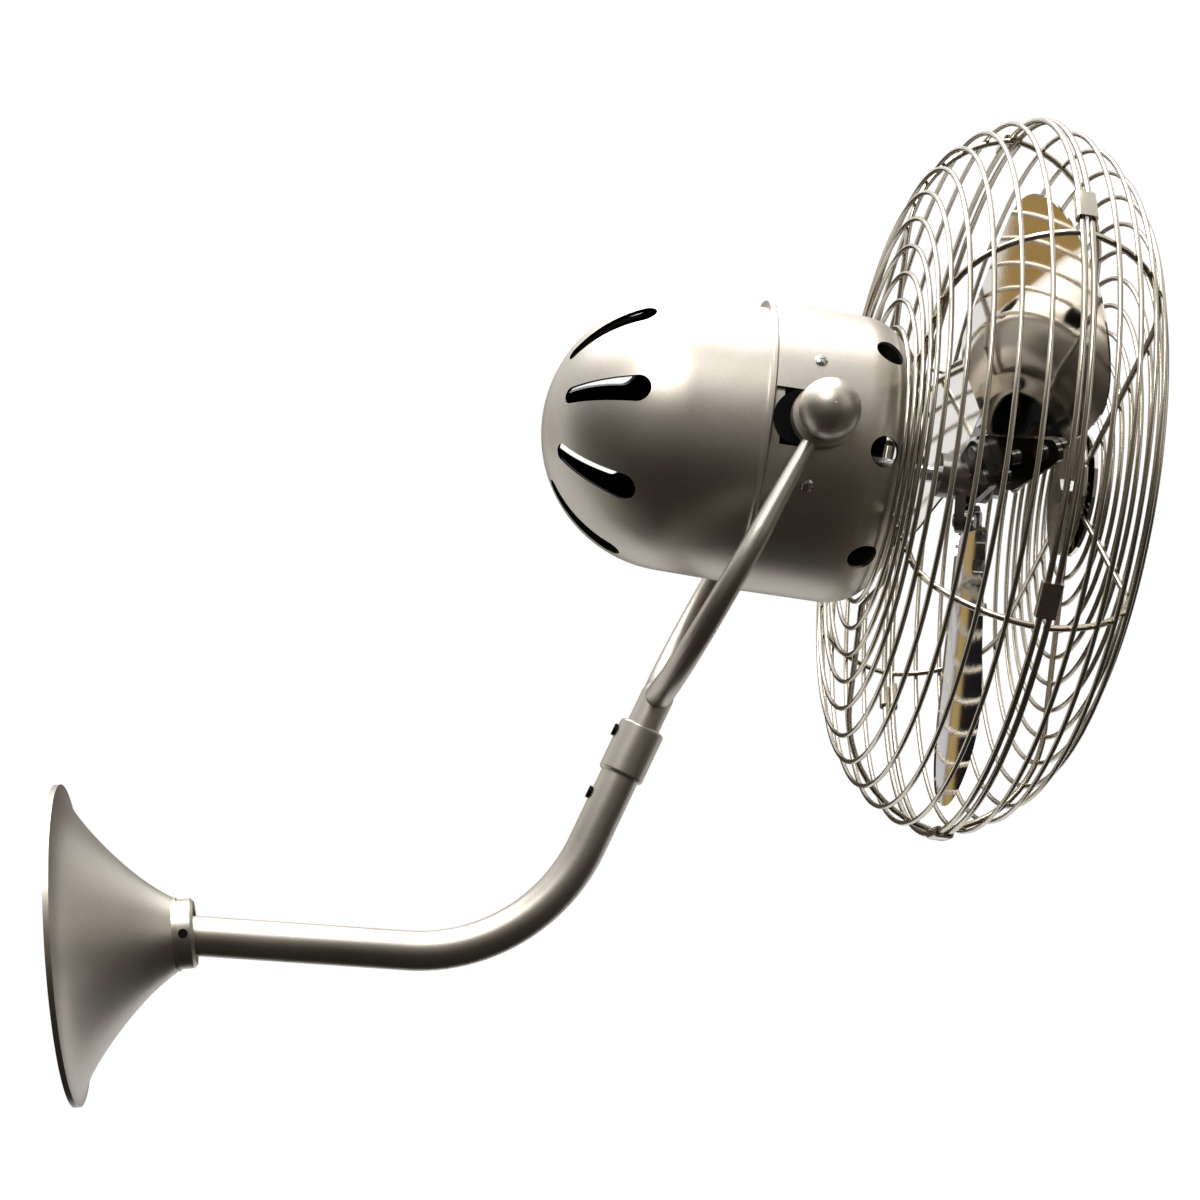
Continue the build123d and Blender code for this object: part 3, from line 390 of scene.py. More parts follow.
# %% Zinc plate
def zinc_finish(name, dark, light, rough, crystal_size):
    """Zinc plated steel with a crystal pattern."""
    finish, tree, surface = new_finish(name)
    place = tree.nodes.new("ShaderNodeTexCoord").outputs["Object"]
    crystals = add_node(tree, "ShaderNodeTexVoronoi", Vector=place, Scale=crystal_size)
    grain = place_group(tree, blasted, Vector=place)
    parted = add_node(tree, "ShaderNodeSeparateColor", Color=crystals.outputs["Color"])
    tone = ramp(tree, parted.outputs["Red"], [(0.0, dark), (1.0, light)])
    tree.links.new(tone, surface.inputs["Base Color"])
    surface.inputs["Metallic"].default_value = 1.0
    uneven = math_node(tree, "MULTIPLY", parted.outputs["Green"], 0.15)
    tree.links.new(math_node(tree, "ADD", uneven, rough), surface.inputs["Roughness"])
    bump = add_node(tree, "ShaderNodeBump", Strength=0.1, Distance=0.0001, Height=grain.outputs["Grain"])
    tree.links.new(bump.outputs["Normal"], surface.inputs["Normal"])
    return finish


zinc_fastener = zinc_finish("zinc_fastener", (0.44, 0.45, 0.46), (0.60, 0.61, 0.62), 0.28, 700.0)
steel_plate = zinc_finish("steel_plate", (0.42, 0.43, 0.44), (0.58, 0.59, 0.60), 0.36, 160.0)


# %% Castings
def cast_finish(name, dark, light, rough, metallic):
    """A dull casting: clouds of tone, and pits that a bump sinks."""
    finish, tree, surface = new_finish(name)
    place = tree.nodes.new("ShaderNodeTexCoord").outputs["Object"]
    grain = place_group(tree, blasted, Vector=place, Grain_Size=420.0, Cloud_Size=30.0)
    tone = ramp(tree, grain.outputs["Cloud"], [(0.3, dark), (0.7, light)])
    tree.links.new(tone, surface.inputs["Base Color"])
    surface.inputs["Metallic"].default_value = metallic
    uneven = math_node(tree, "MULTIPLY", grain.outputs["Cloud"], 0.2)
    tree.links.new(math_node(tree, "ADD", uneven, rough - 0.1), surface.inputs["Roughness"])
    bump = add_node(tree, "ShaderNodeBump", Strength=0.35, Distance=0.0004, Height=grain.outputs["Grain"])
    tree.links.new(bump.outputs["Normal"], surface.inputs["Normal"])
    return finish


# The motor's castings are near black: painted shade for the inside of the housing.
motor_cast = cast_finish("motor_cast", (0.012, 0.012, 0.013), (0.03, 0.03, 0.03), 0.5, 0.0)
hub_cast = cast_finish("hub_cast", (0.13, 0.12, 0.115), (0.24, 0.225, 0.21), 0.30, 1.0)
black_pivot = cast_finish("black_pivot", (0.010, 0.010, 0.011), (0.022, 0.021, 0.020), 0.45, 0.0)
# The shields are a real black part, and their near-black colour also stands for painted shade in the
# notches.
black_shield = cast_finish("black_shield", (0.002, 0.002, 0.002), (0.006, 0.006, 0.006), 0.85, 0.0)
for matt in (black_shield, motor_cast):
    matt.node_tree.nodes["Principled BSDF"].inputs["Specular IOR Level"].default_value = 0.08


# %% Ground steel, turned on the fan's axis
def turned_finish(name, dark, light, rough):
    """Turned steel, with rings round the fan's axis."""
    finish, tree, surface = new_finish(name)
    rings = place_group(tree, turned, Vector=head_vector(tree))
    tone = ramp(tree, rings.outputs["Rings"], [(0.3, dark), (0.7, light)])
    tree.links.new(tone, surface.inputs["Base Color"])
    surface.inputs["Metallic"].default_value = 1.0
    uneven = math_node(tree, "MULTIPLY", rings.outputs["Rings"], 0.15)
    tree.links.new(math_node(tree, "ADD", uneven, rough - 0.07), surface.inputs["Roughness"])
    bump = add_node(tree, "ShaderNodeBump", Strength=0.2, Distance=0.0001, Height=rings.outputs["Rings"])
    tree.links.new(bump.outputs["Normal"], surface.inputs["Normal"])
    return finish


ground_steel = turned_finish("ground_steel", (0.52, 0.52, 0.53), (0.68, 0.68, 0.69), 0.22)
print("Dull finishes are ready")

# %% [markdown]
# ## The motor's iron and copper
# A stator is a stack of thin steel sheets, so it shows fine bands across its axis. The windings are
# bundles of enamelled copper wire that run round it. Both are bands of a Wave texture: the iron's
# run along the axis, the copper's run round it.

# %% Laminated iron and copper windings
def banded_finish(name, dark, light, rough, metallic, band_scale, direction):
    """Bands along one axis of the head's frame, dark between the layers."""
    finish, tree, surface = new_finish(name)
    place = head_vector(tree)
    bands = add_node(tree, "ShaderNodeTexWave", {"wave_type": "BANDS", "bands_direction": direction},
                     Vector=place, Scale=band_scale, Distortion=0.6, Detail=1.0)
    grain = place_group(tree, blasted, Vector=place)
    tone = ramp(tree, bands.outputs["Fac"], [(0.0, dark), (0.5, light)])
    tree.links.new(tone, surface.inputs["Base Color"])
    surface.inputs["Metallic"].default_value = metallic
    uneven = math_node(tree, "MULTIPLY", grain.outputs["Cloud"], 0.2)
    tree.links.new(math_node(tree, "ADD", uneven, rough - 0.1), surface.inputs["Roughness"])
    bump = add_node(tree, "ShaderNodeBump", Strength=0.5, Distance=0.0003, Height=bands.outputs["Fac"])
    tree.links.new(bump.outputs["Normal"], surface.inputs["Normal"])
    return finish


# The stator's iron is near black: painted shade for the inside of the housing.
lamination = banded_finish("lamination", (0.015, 0.014, 0.013), (0.06, 0.057, 0.054), 0.5, 1.0, 320.0, "X")
copper_winding = banded_finish("copper_winding", (0.05, 0.014, 0.006), (0.24, 0.09, 0.04), 0.35, 1.0,
                               420.0, "DIAGONAL")

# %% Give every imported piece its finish
finishes = {
    "satin_nickel": satin_nickel, "polished_wire": polished_wire, "polished_blade": polished_blade,
    "bright_fastener": bright_fastener, "zinc_fastener": zinc_fastener, "steel_plate": steel_plate,
    "motor_cast": motor_cast, "hub_cast": hub_cast, "black_pivot": black_pivot,
    "black_shield": black_shield, "ground_steel": ground_steel, "lamination": lamination,
    "copper_winding": copper_winding,
}
own_finishes = {
    "rear_shell": satin_housing_shaded_inside, "front_shell": satin_housing_shaded_inside, "blade_irons": polished_iron,
    "collar_screws": black_screw, "arm_screws": black_screw, "guard_standoffs": polished_iron,
}
for node_name, node in nodes.items():
    slot_name = node.material_slots[0].material.name.split(".")[0]
    node.material_slots[0].material = own_finishes.get(node_name, finishes[slot_name])
print("Finishes given:", len(finishes), "to", len(nodes), "pieces")

# %% [markdown]
# ## The cage's wires
# The cage is two round guards. Each has a heavy rim wire, thinner rings that stand outside, and six
# spokes inside, welded where they cross. A ring is a torus. A spoke starts as a circle at the rim,
# which spin carries round the shoulder and extrude carries along the straight runs. One spoke is
# made and its copies are turned about the fan's axis, so all six are alike.

# %% Sizes of the cage, in metres in the head's frame
CAGE_CENTRE = 0.106
RIM_RADIUS = 0.2025
RIM_WIRE = 0.0032
RIM_OFFSET = 0.0024
HALF_DEPTH = 0.059
SHOULDER = 0.068
RING_PITCH = 0.01525
RING_WIRE = 0.0027
SPOKE_WIRE = 0.0034
SPOKE_COUNT = 6
SPOKE_TURN = 27.0
BACK_RINGS = 10
FRONT_RINGS = 12
MOUNT_FACE = 0.062
MOUNT_OUTER = 0.047
MOUNT_INNER = 0.036
MOUNT_THICKNESS = 0.002
WELD_DEPTH = 0.00025
RING_STEPS = 120
WIRE_STEPS = 10
SPOKE_STEPS = 12
# radii at which a rear spoke leaves the cage's back, slants, and reaches the mounting ring
BACK_BEND = 0.081
SLANT_START = 0.0795
SLANT_END = 0.0665
FOOT_BEND = 0.065
BEND_DEPTH = 0.0008
FRONT_SPOKE_END = 0.014

round_angle = math.acos(1 - (HALF_DEPTH - RIM_OFFSET) / SHOULDER)
round_length = SHOULDER * round_angle
flat_radius = RIM_RADIUS - SHOULDER * math.sin(round_angle)
spoke_inset = (RING_WIRE + SPOKE_WIRE) / 2 - WELD_DEPTH


def ring_station(number):
    """How far a ring stands from the rim's plane, and its radius, counted inwards from the rim."""
    walked = number * RING_PITCH
    if walked > round_length:
        return HALF_DEPTH, flat_radius - (walked - round_length)
    angle = round_angle - walked / SHOULDER
    return HALF_DEPTH - SHOULDER * (1 - math.cos(angle)), flat_radius + SHOULDER * math.sin(angle)


print("The shoulder turns through", round(math.degrees(round_angle), 1), "degrees")


# %% Helpers for shaping
SMOOTH_ANGLE = math.radians(40)
DOUBLES = 0.00001
UPRIGHT = (math.pi / 2, 0, 0)
ROUND_AXIS = (0, math.pi / 2, 0)


def nothing_selected():
    """Deselects everything, because an operator acts on all that is selected."""
    bpy.ops.object.select_all(action="DESELECT")


def join_pieces(pieces, name):
    """Joins pieces into one object, with its place in its mesh."""
    nothing_selected()
    for piece in pieces:
        piece.select_set(True)
    bpy.context.view_layer.objects.active = pieces[0]
    if len(pieces) > 1:
        bpy.ops.object.join()
    joined = bpy.context.view_layer.objects.active
    joined.name = name
    joined.data.name = name
    bpy.ops.object.transform_apply(location=True, rotation=True, scale=True)
    return joined


def into_head(piece):
    """Moves a piece that was made in the head's frame to its place on the fan."""
    nothing_selected()
    piece.select_set(True)
    bpy.context.view_layer.objects.active = piece
    piece.matrix_world = head @ piece.matrix_world
    bpy.ops.object.transform_apply(location=True, rotation=True, scale=True)


def close_body(piece):
    """Merges doubles, turns the faces outwards and leaves edit mode."""
    bpy.ops.mesh.select_all(action="SELECT")
    bpy.ops.mesh.remove_doubles(threshold=DOUBLES)
    bpy.ops.mesh.normals_make_consistent(inside=False)
    bpy.ops.object.mode_set(mode="OBJECT")
    bpy.ops.object.shade_smooth_by_angle(angle=SMOOTH_ANGLE)
    return piece


def select_by_place(piece, kind, chosen):
    """Selects the vertices or faces whose middle passes a test, in edit mode."""
    bpy.ops.mesh.select_mode(type=kind)
    bpy.ops.mesh.select_all(action="DESELECT")
    bpy.ops.object.mode_set(mode="OBJECT")
    parts = piece.data.polygons if kind == "FACE" else piece.data.vertices
    for part in parts:
        part.select = chosen(part.center if kind == "FACE" else part.co)
    bpy.ops.object.mode_set(mode="EDIT")


def wire_ring(place, radius, wire):
    """A ring of round wire about the fan's axis."""
    nothing_selected()
    bpy.ops.mesh.primitive_torus_add(major_radius=radius, minor_radius=wire / 2,
                                     major_segments=RING_STEPS, minor_segments=WIRE_STEPS,
                                     location=(place, 0, 0), rotation=ROUND_AXIS)
    ring = bpy.context.active_object
    bpy.ops.object.shade_smooth()
    return ring


# %% One spoke, standing above the axis
def turn_corner(centre, angle, steps):
    """Spins the selected end of the wire round a corner, from X towards Z."""
    bpy.ops.mesh.spin(steps=steps, angle=angle, center=centre, axis=(0, 1, 0))


def run_straight(shift):
    """Carries the selected end of the wire along a straight run."""
    bpy.ops.mesh.extrude_region_move(TRANSFORM_OT_translate={"value": shift})


def wire_spoke(facing, runs):
    """A spoke from the rim round the shoulder, then along straight runs. Facing is 1 in front."""
    nothing_selected()
    radius = SHOULDER - spoke_inset
    centre = Vector((CAGE_CENTRE + facing * (HALF_DEPTH - SHOULDER), 0, flat_radius))
    start = centre + Vector((facing * radius * math.cos(round_angle), 0, radius * math.sin(round_angle)))
    # a circle across the wire, square to the arc where it starts
    lean = round_angle if facing > 0 else math.pi - round_angle
    bpy.ops.mesh.primitive_circle_add(vertices=SPOKE_STEPS, radius=SPOKE_WIRE / 2, fill_type="NGON",
                                      location=start, rotation=(0, -lean, 0))
    spoke = bpy.context.active_object
    bpy.ops.object.transform_apply(location=True, rotation=True, scale=True)
    bpy.ops.object.mode_set(mode="EDIT")
    bpy.ops.mesh.select_all(action="SELECT")
    turn_corner(centre, -facing * round_angle, SPOKE_STEPS)
    here = centre + Vector((facing * radius, 0, 0))
    for there in runs:
        run_straight(Vector(there) - here)
        here = Vector(there)
    return close_body(spoke)


def turned_copies(piece, count, first_turn):
    """Copies of a piece that stands above the axis, each with its own mesh, turned about the axis."""
    copies = []
    for number in range(count):
        copy = piece.copy()
        copy.data = piece.data.copy()
        scene.collection.objects.link(copy)
        angle = math.radians(90 - first_turn - 360 / count * number)
        copy.matrix_world = Matrix.Rotation(angle, 4, "X") @ piece.matrix_world
        copies.append(copy)
    bpy.data.objects.remove(piece)
    return copies


# %% The rear guard
back_face = CAGE_CENTRE - HALF_DEPTH + spoke_inset
foot_face = MOUNT_FACE - SPOKE_WIRE / 2 + WELD_DEPTH
spoke = wire_spoke(-1, [(back_face, 0, BACK_BEND), (back_face + BEND_DEPTH, 0, SLANT_START),
                        (foot_face - BEND_DEPTH, 0, SLANT_END), (foot_face, 0, FOOT_BEND),
                        (foot_face, 0, (MOUNT_OUTER + MOUNT_INNER) / 2)])
rear_wires = turned_copies(spoke, SPOKE_COUNT, SPOKE_TURN)
for number in range(BACK_RINGS + 1):
    depth, ring_radius = ring_station(number)
    wire = RING_WIRE if number else RIM_WIRE
    rear_wires.append(wire_ring(CAGE_CENTRE - depth, ring_radius, wire))

nothing_selected()
bpy.ops.mesh.primitive_cylinder_add(vertices=96, radius=MOUNT_OUTER, depth=MOUNT_THICKNESS,
                                    location=(MOUNT_FACE + MOUNT_THICKNESS / 2, 0, 0), rotation=ROUND_AXIS)
mount_plate = bpy.context.active_object
bpy.ops.object.mode_set(mode="EDIT")
bpy.ops.mesh.select_mode(type="FACE")
bpy.ops.mesh.select_all(action="DESELECT")
bpy.ops.object.mode_set(mode="OBJECT")
for face in mount_plate.data.polygons:
    # the two round faces, before the turn is applied
    face.select = abs(face.normal.z) > 0.9
bpy.ops.object.mode_set(mode="EDIT")
bpy.ops.mesh.inset(thickness=MOUNT_OUTER - MOUNT_INNER)
bpy.ops.mesh.bridge_edge_loops()
bpy.ops.object.mode_set(mode="OBJECT")
bpy.ops.object.shade_smooth_by_angle(angle=SMOOTH_ANGLE)
rear_wires.append(mount_plate)

rear_cage = join_pieces(rear_wires, "rear_cage")
into_head(rear_cage)
rear_cage.data.materials.clear()
rear_cage.data.materials.append(polished_wire)
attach(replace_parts(rear_cage, "rear_guard"), "head")
print("Rear cage faces:", len(rear_cage.data.polygons))

# %% The front guard
front_face = CAGE_CENTRE + HALF_DEPTH - spoke_inset
spoke = wire_spoke(1, [(front_face, 0, FRONT_SPOKE_END)])
front_wires = turned_copies(spoke, SPOKE_COUNT, SPOKE_TURN)
for number in range(FRONT_RINGS + 1):
    depth, ring_radius = ring_station(number)
    wire = RING_WIRE if number else RIM_WIRE
    front_wires.append(wire_ring(CAGE_CENTRE + depth, ring_radius, wire))
front_cage = join_pieces(front_wires, "front_cage")
into_head(front_cage)
front_cage.data.materials.clear()
front_cage.data.materials.append(polished_wire)
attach(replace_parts(front_cage, "front_guard"), "head")
print("Front cage faces:", len(front_cage.data.polygons))

# %% [markdown]
# ## Clips, screws and shields
# A clip is one strip of sheet, bent round both rim wires and open towards the axis. Its section
# starts as a plane: bevel rounds the corners, inset leaves the thickness of the sheet, bisect opens
# the gap, and spin carries it along the rim. The screws at the side of the housing have low domes,
# extruded ring by ring, and a boolean cuts their crosses. The black shields fill the notches round
# the pivots, and their rounded ends show against the lip of the rear shell.

# %% Helpers for flat profiles
def start_flat(vertices, radius, place, turn=(0, 0, 0), fill="NOTHING"):
    """A new circle alone in edit mode, all of it selected."""
    nothing_selected()
    bpy.ops.mesh.primitive_circle_add(vertices=vertices, radius=radius, fill_type=fill,
                                      location=place, rotation=turn)
    piece = bpy.context.active_object
    bpy.ops.object.transform_apply(location=True, rotation=True, scale=True)
    bpy.ops.object.mode_set(mode="EDIT")
    bpy.ops.mesh.select_all(action="SELECT")
    return piece


# %% Six clips on the rims
CLIP_WIDTH = 0.011
CLIP_HEIGHT = 0.0062
CLIP_SHEET = 0.0012
CLIP_CORNER = 0.0019
CORNER_STEPS = 4
CLIP_GAP = 0.004
CLIP_LENGTH = 0.018
CLIP_STEPS = 6
CLIP_TURN = 4.5

clip_arc = CLIP_LENGTH / RIM_RADIUS
nothing_selected()
bpy.ops.mesh.primitive_plane_add(size=1, location=(CAGE_CENTRE, 0, RIM_RADIUS), rotation=UPRIGHT)
clip = bpy.context.active_object
clip.scale = (CLIP_WIDTH, CLIP_HEIGHT, 1)
bpy.ops.object.transform_apply(location=True, rotation=True, scale=True)
bpy.ops.object.mode_set(mode="EDIT")
bpy.ops.mesh.select_all(action="SELECT")
bpy.ops.mesh.bevel(offset=CLIP_CORNER, segments=CORNER_STEPS, affect="VERTICES")
bpy.ops.mesh.select_all(action="SELECT")
bpy.ops.mesh.inset(thickness=CLIP_SHEET)
bpy.ops.mesh.delete(type="FACE")
for side in (-1, 1):
    select_by_place(clip, "FACE", lambda middle: middle.z < RIM_RADIUS)
    bpy.ops.mesh.bisect(plane_co=(CAGE_CENTRE + side * CLIP_GAP / 2, 0, 0), plane_no=(1, 0, 0))
select_by_place(clip, "FACE", lambda middle: middle.z < RIM_RADIUS
                and abs(middle.x - CAGE_CENTRE) < CLIP_GAP / 2)
bpy.ops.mesh.delete(type="FACE")
bpy.ops.mesh.select_all(action="SELECT")
bpy.ops.mesh.spin(steps=CLIP_STEPS, angle=clip_arc, center=(0, 0, 0), axis=(1, 0, 0))
close_body(clip)
middle_turn = SPOKE_TURN + CLIP_TURN - math.degrees(clip_arc) / 2
clips = join_pieces(turned_copies(clip, SPOKE_COUNT, middle_turn), "rim_clips")
into_head(clips)
clips.data.materials.append(polished_wire)
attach(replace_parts(clips, "guard_clips"), "head")
print("Clip faces:", len(clips.data.polygons))

# %% Four screws at the sides of the housing
SHELL_RADIUS = 0.0815
SCREW_PLACE = -0.002
SCREW_SPREAD = math.radians(25)
SEAT_GAP = 0.0001
HEAD_RADIUS = 0.0035
HEAD_HEIGHT = 0.0016
HEAD_RIM = 0.0004
HEAD_SUNK = 0.001
DOME_STEPS = 8
CROSS_WIDTH = 0.0007
CROSS_LENGTH = 0.0036
CROSS_DEPTH = 0.0018

dome_height = HEAD_HEIGHT - HEAD_RIM
dome_curve = (HEAD_RADIUS**2 + dome_height**2) / (2 * dome_height)
dome_angle = math.asin(HEAD_RADIUS / dome_curve)


def dome_ring(step):
    """Radius and height of one ring of the dome, from its rim to its top."""
    angle = dome_angle * (1 - step / DOME_STEPS)
    return dome_curve * math.sin(angle), HEAD_HEIGHT - dome_curve * (1 - math.cos(angle))


screw = start_flat(32, HEAD_RADIUS, (0, 0, -HEAD_SUNK), fill="NGON")
bpy.ops.mesh.extrude_region_move(TRANSFORM_OT_translate={"value": (0, 0, HEAD_SUNK + HEAD_RIM)})
for step in range(DOME_STEPS):
    radius, height = dome_ring(step)
    next_radius, next_height = dome_ring(step + 1)
    bpy.ops.mesh.extrude_region_move(TRANSFORM_OT_translate={"value": (0, 0, next_height - height)})
    shrink = next_radius / radius
    bpy.ops.transform.resize(value=(shrink, shrink, 1), center_override=(0, 0, next_height))
close_body(screw)

# one cutter shaped like a plus sign, its four arms extruded from a small cube
nothing_selected()
cross_middle = Vector((0, 0, HEAD_HEIGHT))
bpy.ops.mesh.primitive_cube_add(size=1, location=cross_middle)
cross = bpy.context.active_object
cross.scale = (CROSS_WIDTH, CROSS_WIDTH, CROSS_DEPTH)
bpy.ops.object.transform_apply(location=True, rotation=True, scale=True)
bpy.ops.object.mode_set(mode="EDIT")
for turn in range(4):
    arm = Matrix.Rotation(turn * math.pi / 2, 3, "Z") @ Vector((1, 0, 0))
    root = cross_middle + arm * CROSS_WIDTH / 2
    select_by_place(cross, "FACE", lambda middle: (middle - root).length < DOUBLES)
    reach = arm * (CROSS_LENGTH - CROSS_WIDTH) / 2
    bpy.ops.mesh.extrude_region_move(TRANSFORM_OT_translate={"value": reach})
close_body(cross)
bpy.context.view_layer.objects.active = screw
cut = screw.modifiers.new("cross", "BOOLEAN")
cut.operation = "DIFFERENCE"
cut.object = cross
bpy.ops.object.modifier_apply(modifier=cut.name)
bpy.data.objects.remove(cross)
heads = []
for side in (-1, 1):
    for turn in (-SCREW_SPREAD, SCREW_SPREAD):
        out = Vector((0, side * math.cos(turn), math.sin(turn)))
        head_copy = screw.copy()
        head_copy.data = screw.data.copy()
        scene.collection.objects.link(head_copy)
        seat = Vector((SCREW_PLACE, 0, 0)) + out * (SHELL_RADIUS + SEAT_GAP)
        head_copy.matrix_world = Matrix.Translation(seat) @ out.to_track_quat("Z", "X").to_matrix().to_4x4()
        heads.append(head_copy)
bpy.data.objects.remove(screw)
side_screws = join_pieces(heads, "side_screw_heads")
into_head(side_screws)
side_screws.data.materials.append(bright_fastener)
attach(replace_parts(side_screws, "side_screws"), "head")
print("Screw faces:", len(side_screws.data.polygons))

# %% Two black shields round the pivots
# The shields are a real black part, darkened further as painted shade in the notches round the pivots.
SHIELD_RADIUS = 0.0154
SHIELD_REACH = 0.0095
SHIELD_FACE = 0.07935
SHIELD_THICKNESS = 0.0006
BOSS_HOLE = 0.0113
SHIELD_STEPS = 96


def pivot_shield(side):
    """A plate with a round end behind the pivot, and a hole for the boss. Side is -1 when near."""
    shield = start_flat(SHIELD_STEPS, SHIELD_RADIUS, (0, side * SHIELD_FACE, 0), UPRIGHT)
    select_by_place(shield, "VERT", lambda place: place.x < -DOUBLES)
    bpy.ops.transform.translate(value=(-SHIELD_REACH, 0, 0))
    bpy.ops.mesh.primitive_circle_add(vertices=SHIELD_STEPS, radius=BOSS_HOLE, fill_type="NOTHING",
                                      location=(0, side * SHIELD_FACE, 0), rotation=UPRIGHT)
    bpy.ops.mesh.select_all(action="SELECT")
    bpy.ops.mesh.bridge_edge_loops()
    bpy.ops.mesh.select_all(action="SELECT")
    bpy.ops.mesh.extrude_region_move(TRANSFORM_OT_translate={"value": (0, side * SHIELD_THICKNESS, 0)})
    return close_body(shield)


shields = join_pieces([pivot_shield(side) for side in (-1, 1)], "pivot_shields")
into_head(shields)
shields.data.materials.append(black_shield)
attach(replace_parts(shields, "notch_shields"), "head")
print("Shield faces:", len(shields.data.polygons))

# %% [markdown]
# ## The studio
# The background is white to the camera and in the reflections. Polished metal needs something dark
# to mirror, or it looks like white plaster, so a studio hangs dark cards round the object, and warm
# ones where the blades should look golden. The cards are seen only in reflections and throw no
# shadow.

# %% White surroundings
WHITE = (1, 1, 1, 1)
world = bpy.data.worlds.new("studio")
scene.world = world
world.use_nodes = True
tree = world.node_tree
tree.nodes.clear()
paths = tree.nodes.new("ShaderNodeLightPath")
seen = math_node(tree, "MAXIMUM", paths.outputs["Is Camera Ray"], paths.outputs["Is Glossy Ray"])
seen = math_node(tree, "MAXIMUM", seen, paths.outputs["Is Transmission Ray"])
soft_light = add_node(tree, "ShaderNodeBackground", Strength=0.35)
soft_light.inputs["Color"].default_value = WHITE
white = add_node(tree, "ShaderNodeBackground", Strength=1.0)
white.inputs["Color"].default_value = WHITE
choose = tree.nodes.new("ShaderNodeMixShader")
tree.links.new(seen, choose.inputs["Fac"])
tree.links.new(soft_light.outputs["Background"], choose.inputs[1])
tree.links.new(white.outputs["Background"], choose.inputs[2])
world_output = tree.nodes.new("ShaderNodeOutputWorld")
tree.links.new(choose.outputs["Shader"], world_output.inputs["Surface"])
scene.view_settings.view_transform = "Standard"

# %% Pale floor that fades into the white
FLOOR_LEVEL = -0.30
FLOOR_RADIUS = 1.1
FADE_START = 0.45
FADE_END = 1.05
nothing_selected()
bpy.ops.mesh.primitive_circle_add(vertices=64, radius=FLOOR_RADIUS, fill_type="NGON",
                                  location=(0.3, 0, FLOOR_LEVEL))
floor = bpy.context.active_object
floor.name = "floor"
floor_finish = bpy.data.materials.new("pale_floor")
floor_finish.use_nodes = True
tree = floor_finish.node_tree
tree.nodes.clear()
place = tree.nodes.new("ShaderNodeTexCoord").outputs["Object"]
distance = tree.nodes.new("ShaderNodeVectorMath")
distance.operation = "LENGTH"
tree.links.new(place, distance.inputs[0])
fade = add_node(tree, "ShaderNodeMapRange", {"interpolation_type": "SMOOTHSTEP"},
                From_Min=FADE_START, From_Max=FADE_END)
tree.links.new(distance.outputs["Value"], fade.inputs["Value"])
matt = add_node(tree, "ShaderNodeBsdfDiffuse")
matt.inputs["Color"].default_value = (0.85, 0.85, 0.85, 1)
glow = add_node(tree, "ShaderNodeEmission", Strength=1.0)
glow.inputs["Color"].default_value = WHITE
lift = add_node(tree, "ShaderNodeEmission", Strength=0.3)
lift.inputs["Color"].default_value = WHITE
lit = tree.nodes.new("ShaderNodeAddShader")
tree.links.new(matt.outputs["BSDF"], lit.inputs[0])
tree.links.new(lift.outputs["Emission"], lit.inputs[1])
paths = tree.nodes.new("ShaderNodeLightPath")
faded = tree.nodes.new("ShaderNodeMixShader")
tree.links.new(fade.outputs["Result"], faded.inputs["Fac"])
tree.links.new(lit.outputs["Shader"], faded.inputs[1])
tree.links.new(glow.outputs["Emission"], faded.inputs[2])
only_seen = tree.nodes.new("ShaderNodeMixShader")
tree.links.new(paths.outputs["Is Camera Ray"], only_seen.inputs["Fac"])
tree.links.new(matt.outputs["BSDF"], only_seen.inputs[1])
tree.links.new(faded.outputs["Shader"], only_seen.inputs[2])
floor_output = tree.nodes.new("ShaderNodeOutputMaterial")
tree.links.new(only_seen.outputs["Shader"], floor_output.inputs["Surface"])
floor.data.materials.append(floor_finish)


# %% Soft lamps
def soft_lamp(name, place, target, size, power):
    """A square area lamp that looks at a point."""
    data = bpy.data.lights.new(name, "AREA")
    data.shape = "SQUARE"
    data.size = size
    data.energy = power
    lamp = bpy.data.objects.new(name, data)
    scene.collection.objects.link(lamp)
    lamp.location = place
    lamp.rotation_euler = (Vector(target) - Vector(place)).to_track_quat("-Z", "Y").to_euler()


MIDDLE = (0.36, 0.0, 0.15)
soft_lamp("key", (0.1, -1.0, 1.2), MIDDLE, 0.65, 11)
soft_lamp("overhead", (0.3, 0.2, 1.45), MIDDLE, 1.2, 28)
soft_lamp("fill", (1.5, -0.9, 0.5), MIDDLE, 0.8, 2)


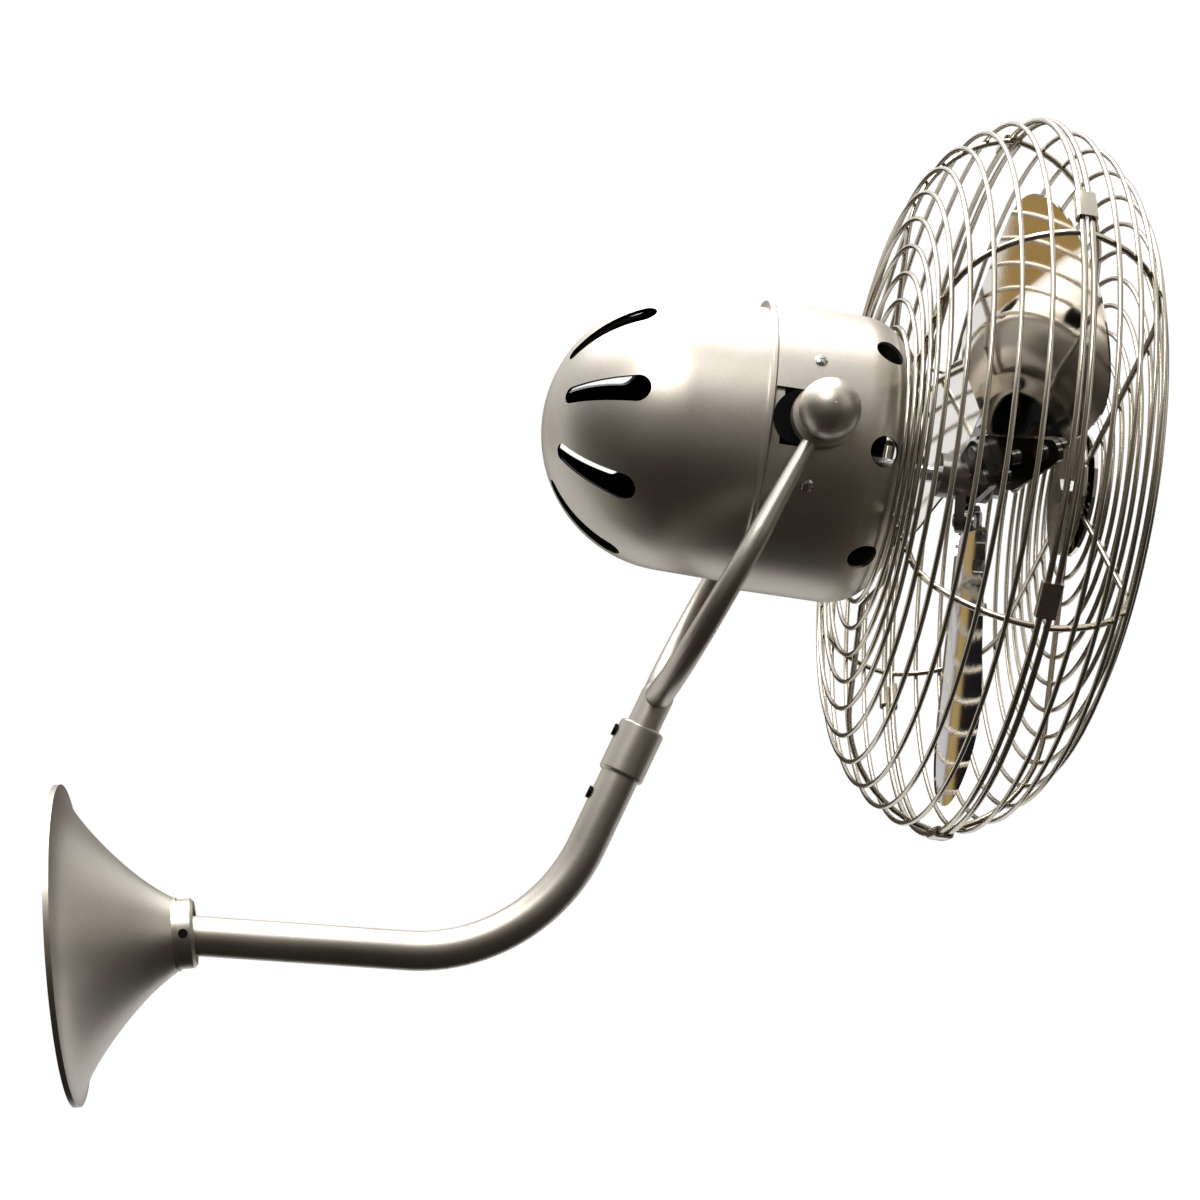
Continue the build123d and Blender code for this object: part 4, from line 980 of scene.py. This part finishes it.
# %% Dark, pale and warm cards, seen only in reflections
def mirror_card(name, place, target, width, height, colour):
    """A flat card that only polished surfaces see."""
    nothing_selected()
    bpy.ops.mesh.primitive_plane_add(size=1, location=place)
    card = bpy.context.active_object
    card.name = name
    card.scale = (width, height, 1)
    card.rotation_euler = (Vector(target) - Vector(place)).to_track_quat("-Z", "Y").to_euler()
    finish = bpy.data.materials.new(name)
    finish.use_nodes = True
    card_tree = finish.node_tree
    card_tree.nodes.clear()
    shine = card_tree.nodes.new("ShaderNodeEmission")
    shine.inputs["Color"].default_value = (*colour, 1)
    card_output = card_tree.nodes.new("ShaderNodeOutputMaterial")
    card_tree.links.new(shine.outputs["Emission"], card_output.inputs["Surface"])
    card.data.materials.append(finish)
    card.visible_camera = False
    card.visible_diffuse = False
    card.visible_transmission = False
    card.visible_shadow = False


mirror_card("dark_floor", (0.4, -0.75, -0.285), (0.4, -0.75, 1.0), 4.0, 2.1, (0.035, 0.031, 0.026))
mirror_card("dim_wall_left", (-1.7, -0.5, 0.4), (0.3, 0.0, 0.2), 2.6, 2.0, (0.07, 0.06, 0.046))
mirror_card("dim_wall_right", (2.6, -0.6, 0.4), (0.5, 0.0, 0.2), 2.6, 2.0, (0.13, 0.115, 0.095))
mirror_card("room_front", (0.4, -2.3, 0.6), (0.4, 0.0, 0.1), 5.0, 2.6, (0.18, 0.157, 0.13))
mirror_card("dark_behind", (0.95, 1.6, 0.35), (0.95, 0.0, 0.2), 2.5, 1.2, (0.06, 0.05, 0.036))
mirror_card("golden_wall", (-0.86, 1.35, 0.70), (0.53, -0.1, 0.35), 0.40, 0.50, (0.40, 0.26, 0.09))
mirror_card("golden_strip", (1.30, 1.15, 0.1), (0.5, 0.0, 0.05), 0.09, 0.7, (0.42, 0.30, 0.12))
mirror_card("pale_strip", (1.11, 1.15, 0.1), (0.5, 0.0, 0.05), 0.20, 0.7, (0.60, 0.59, 0.62))
mirror_card("dark_strip", (1.445, 1.05, 0.1), (0.5, 0.0, 0.05), 0.30, 0.7, (0.012, 0.010, 0.012))
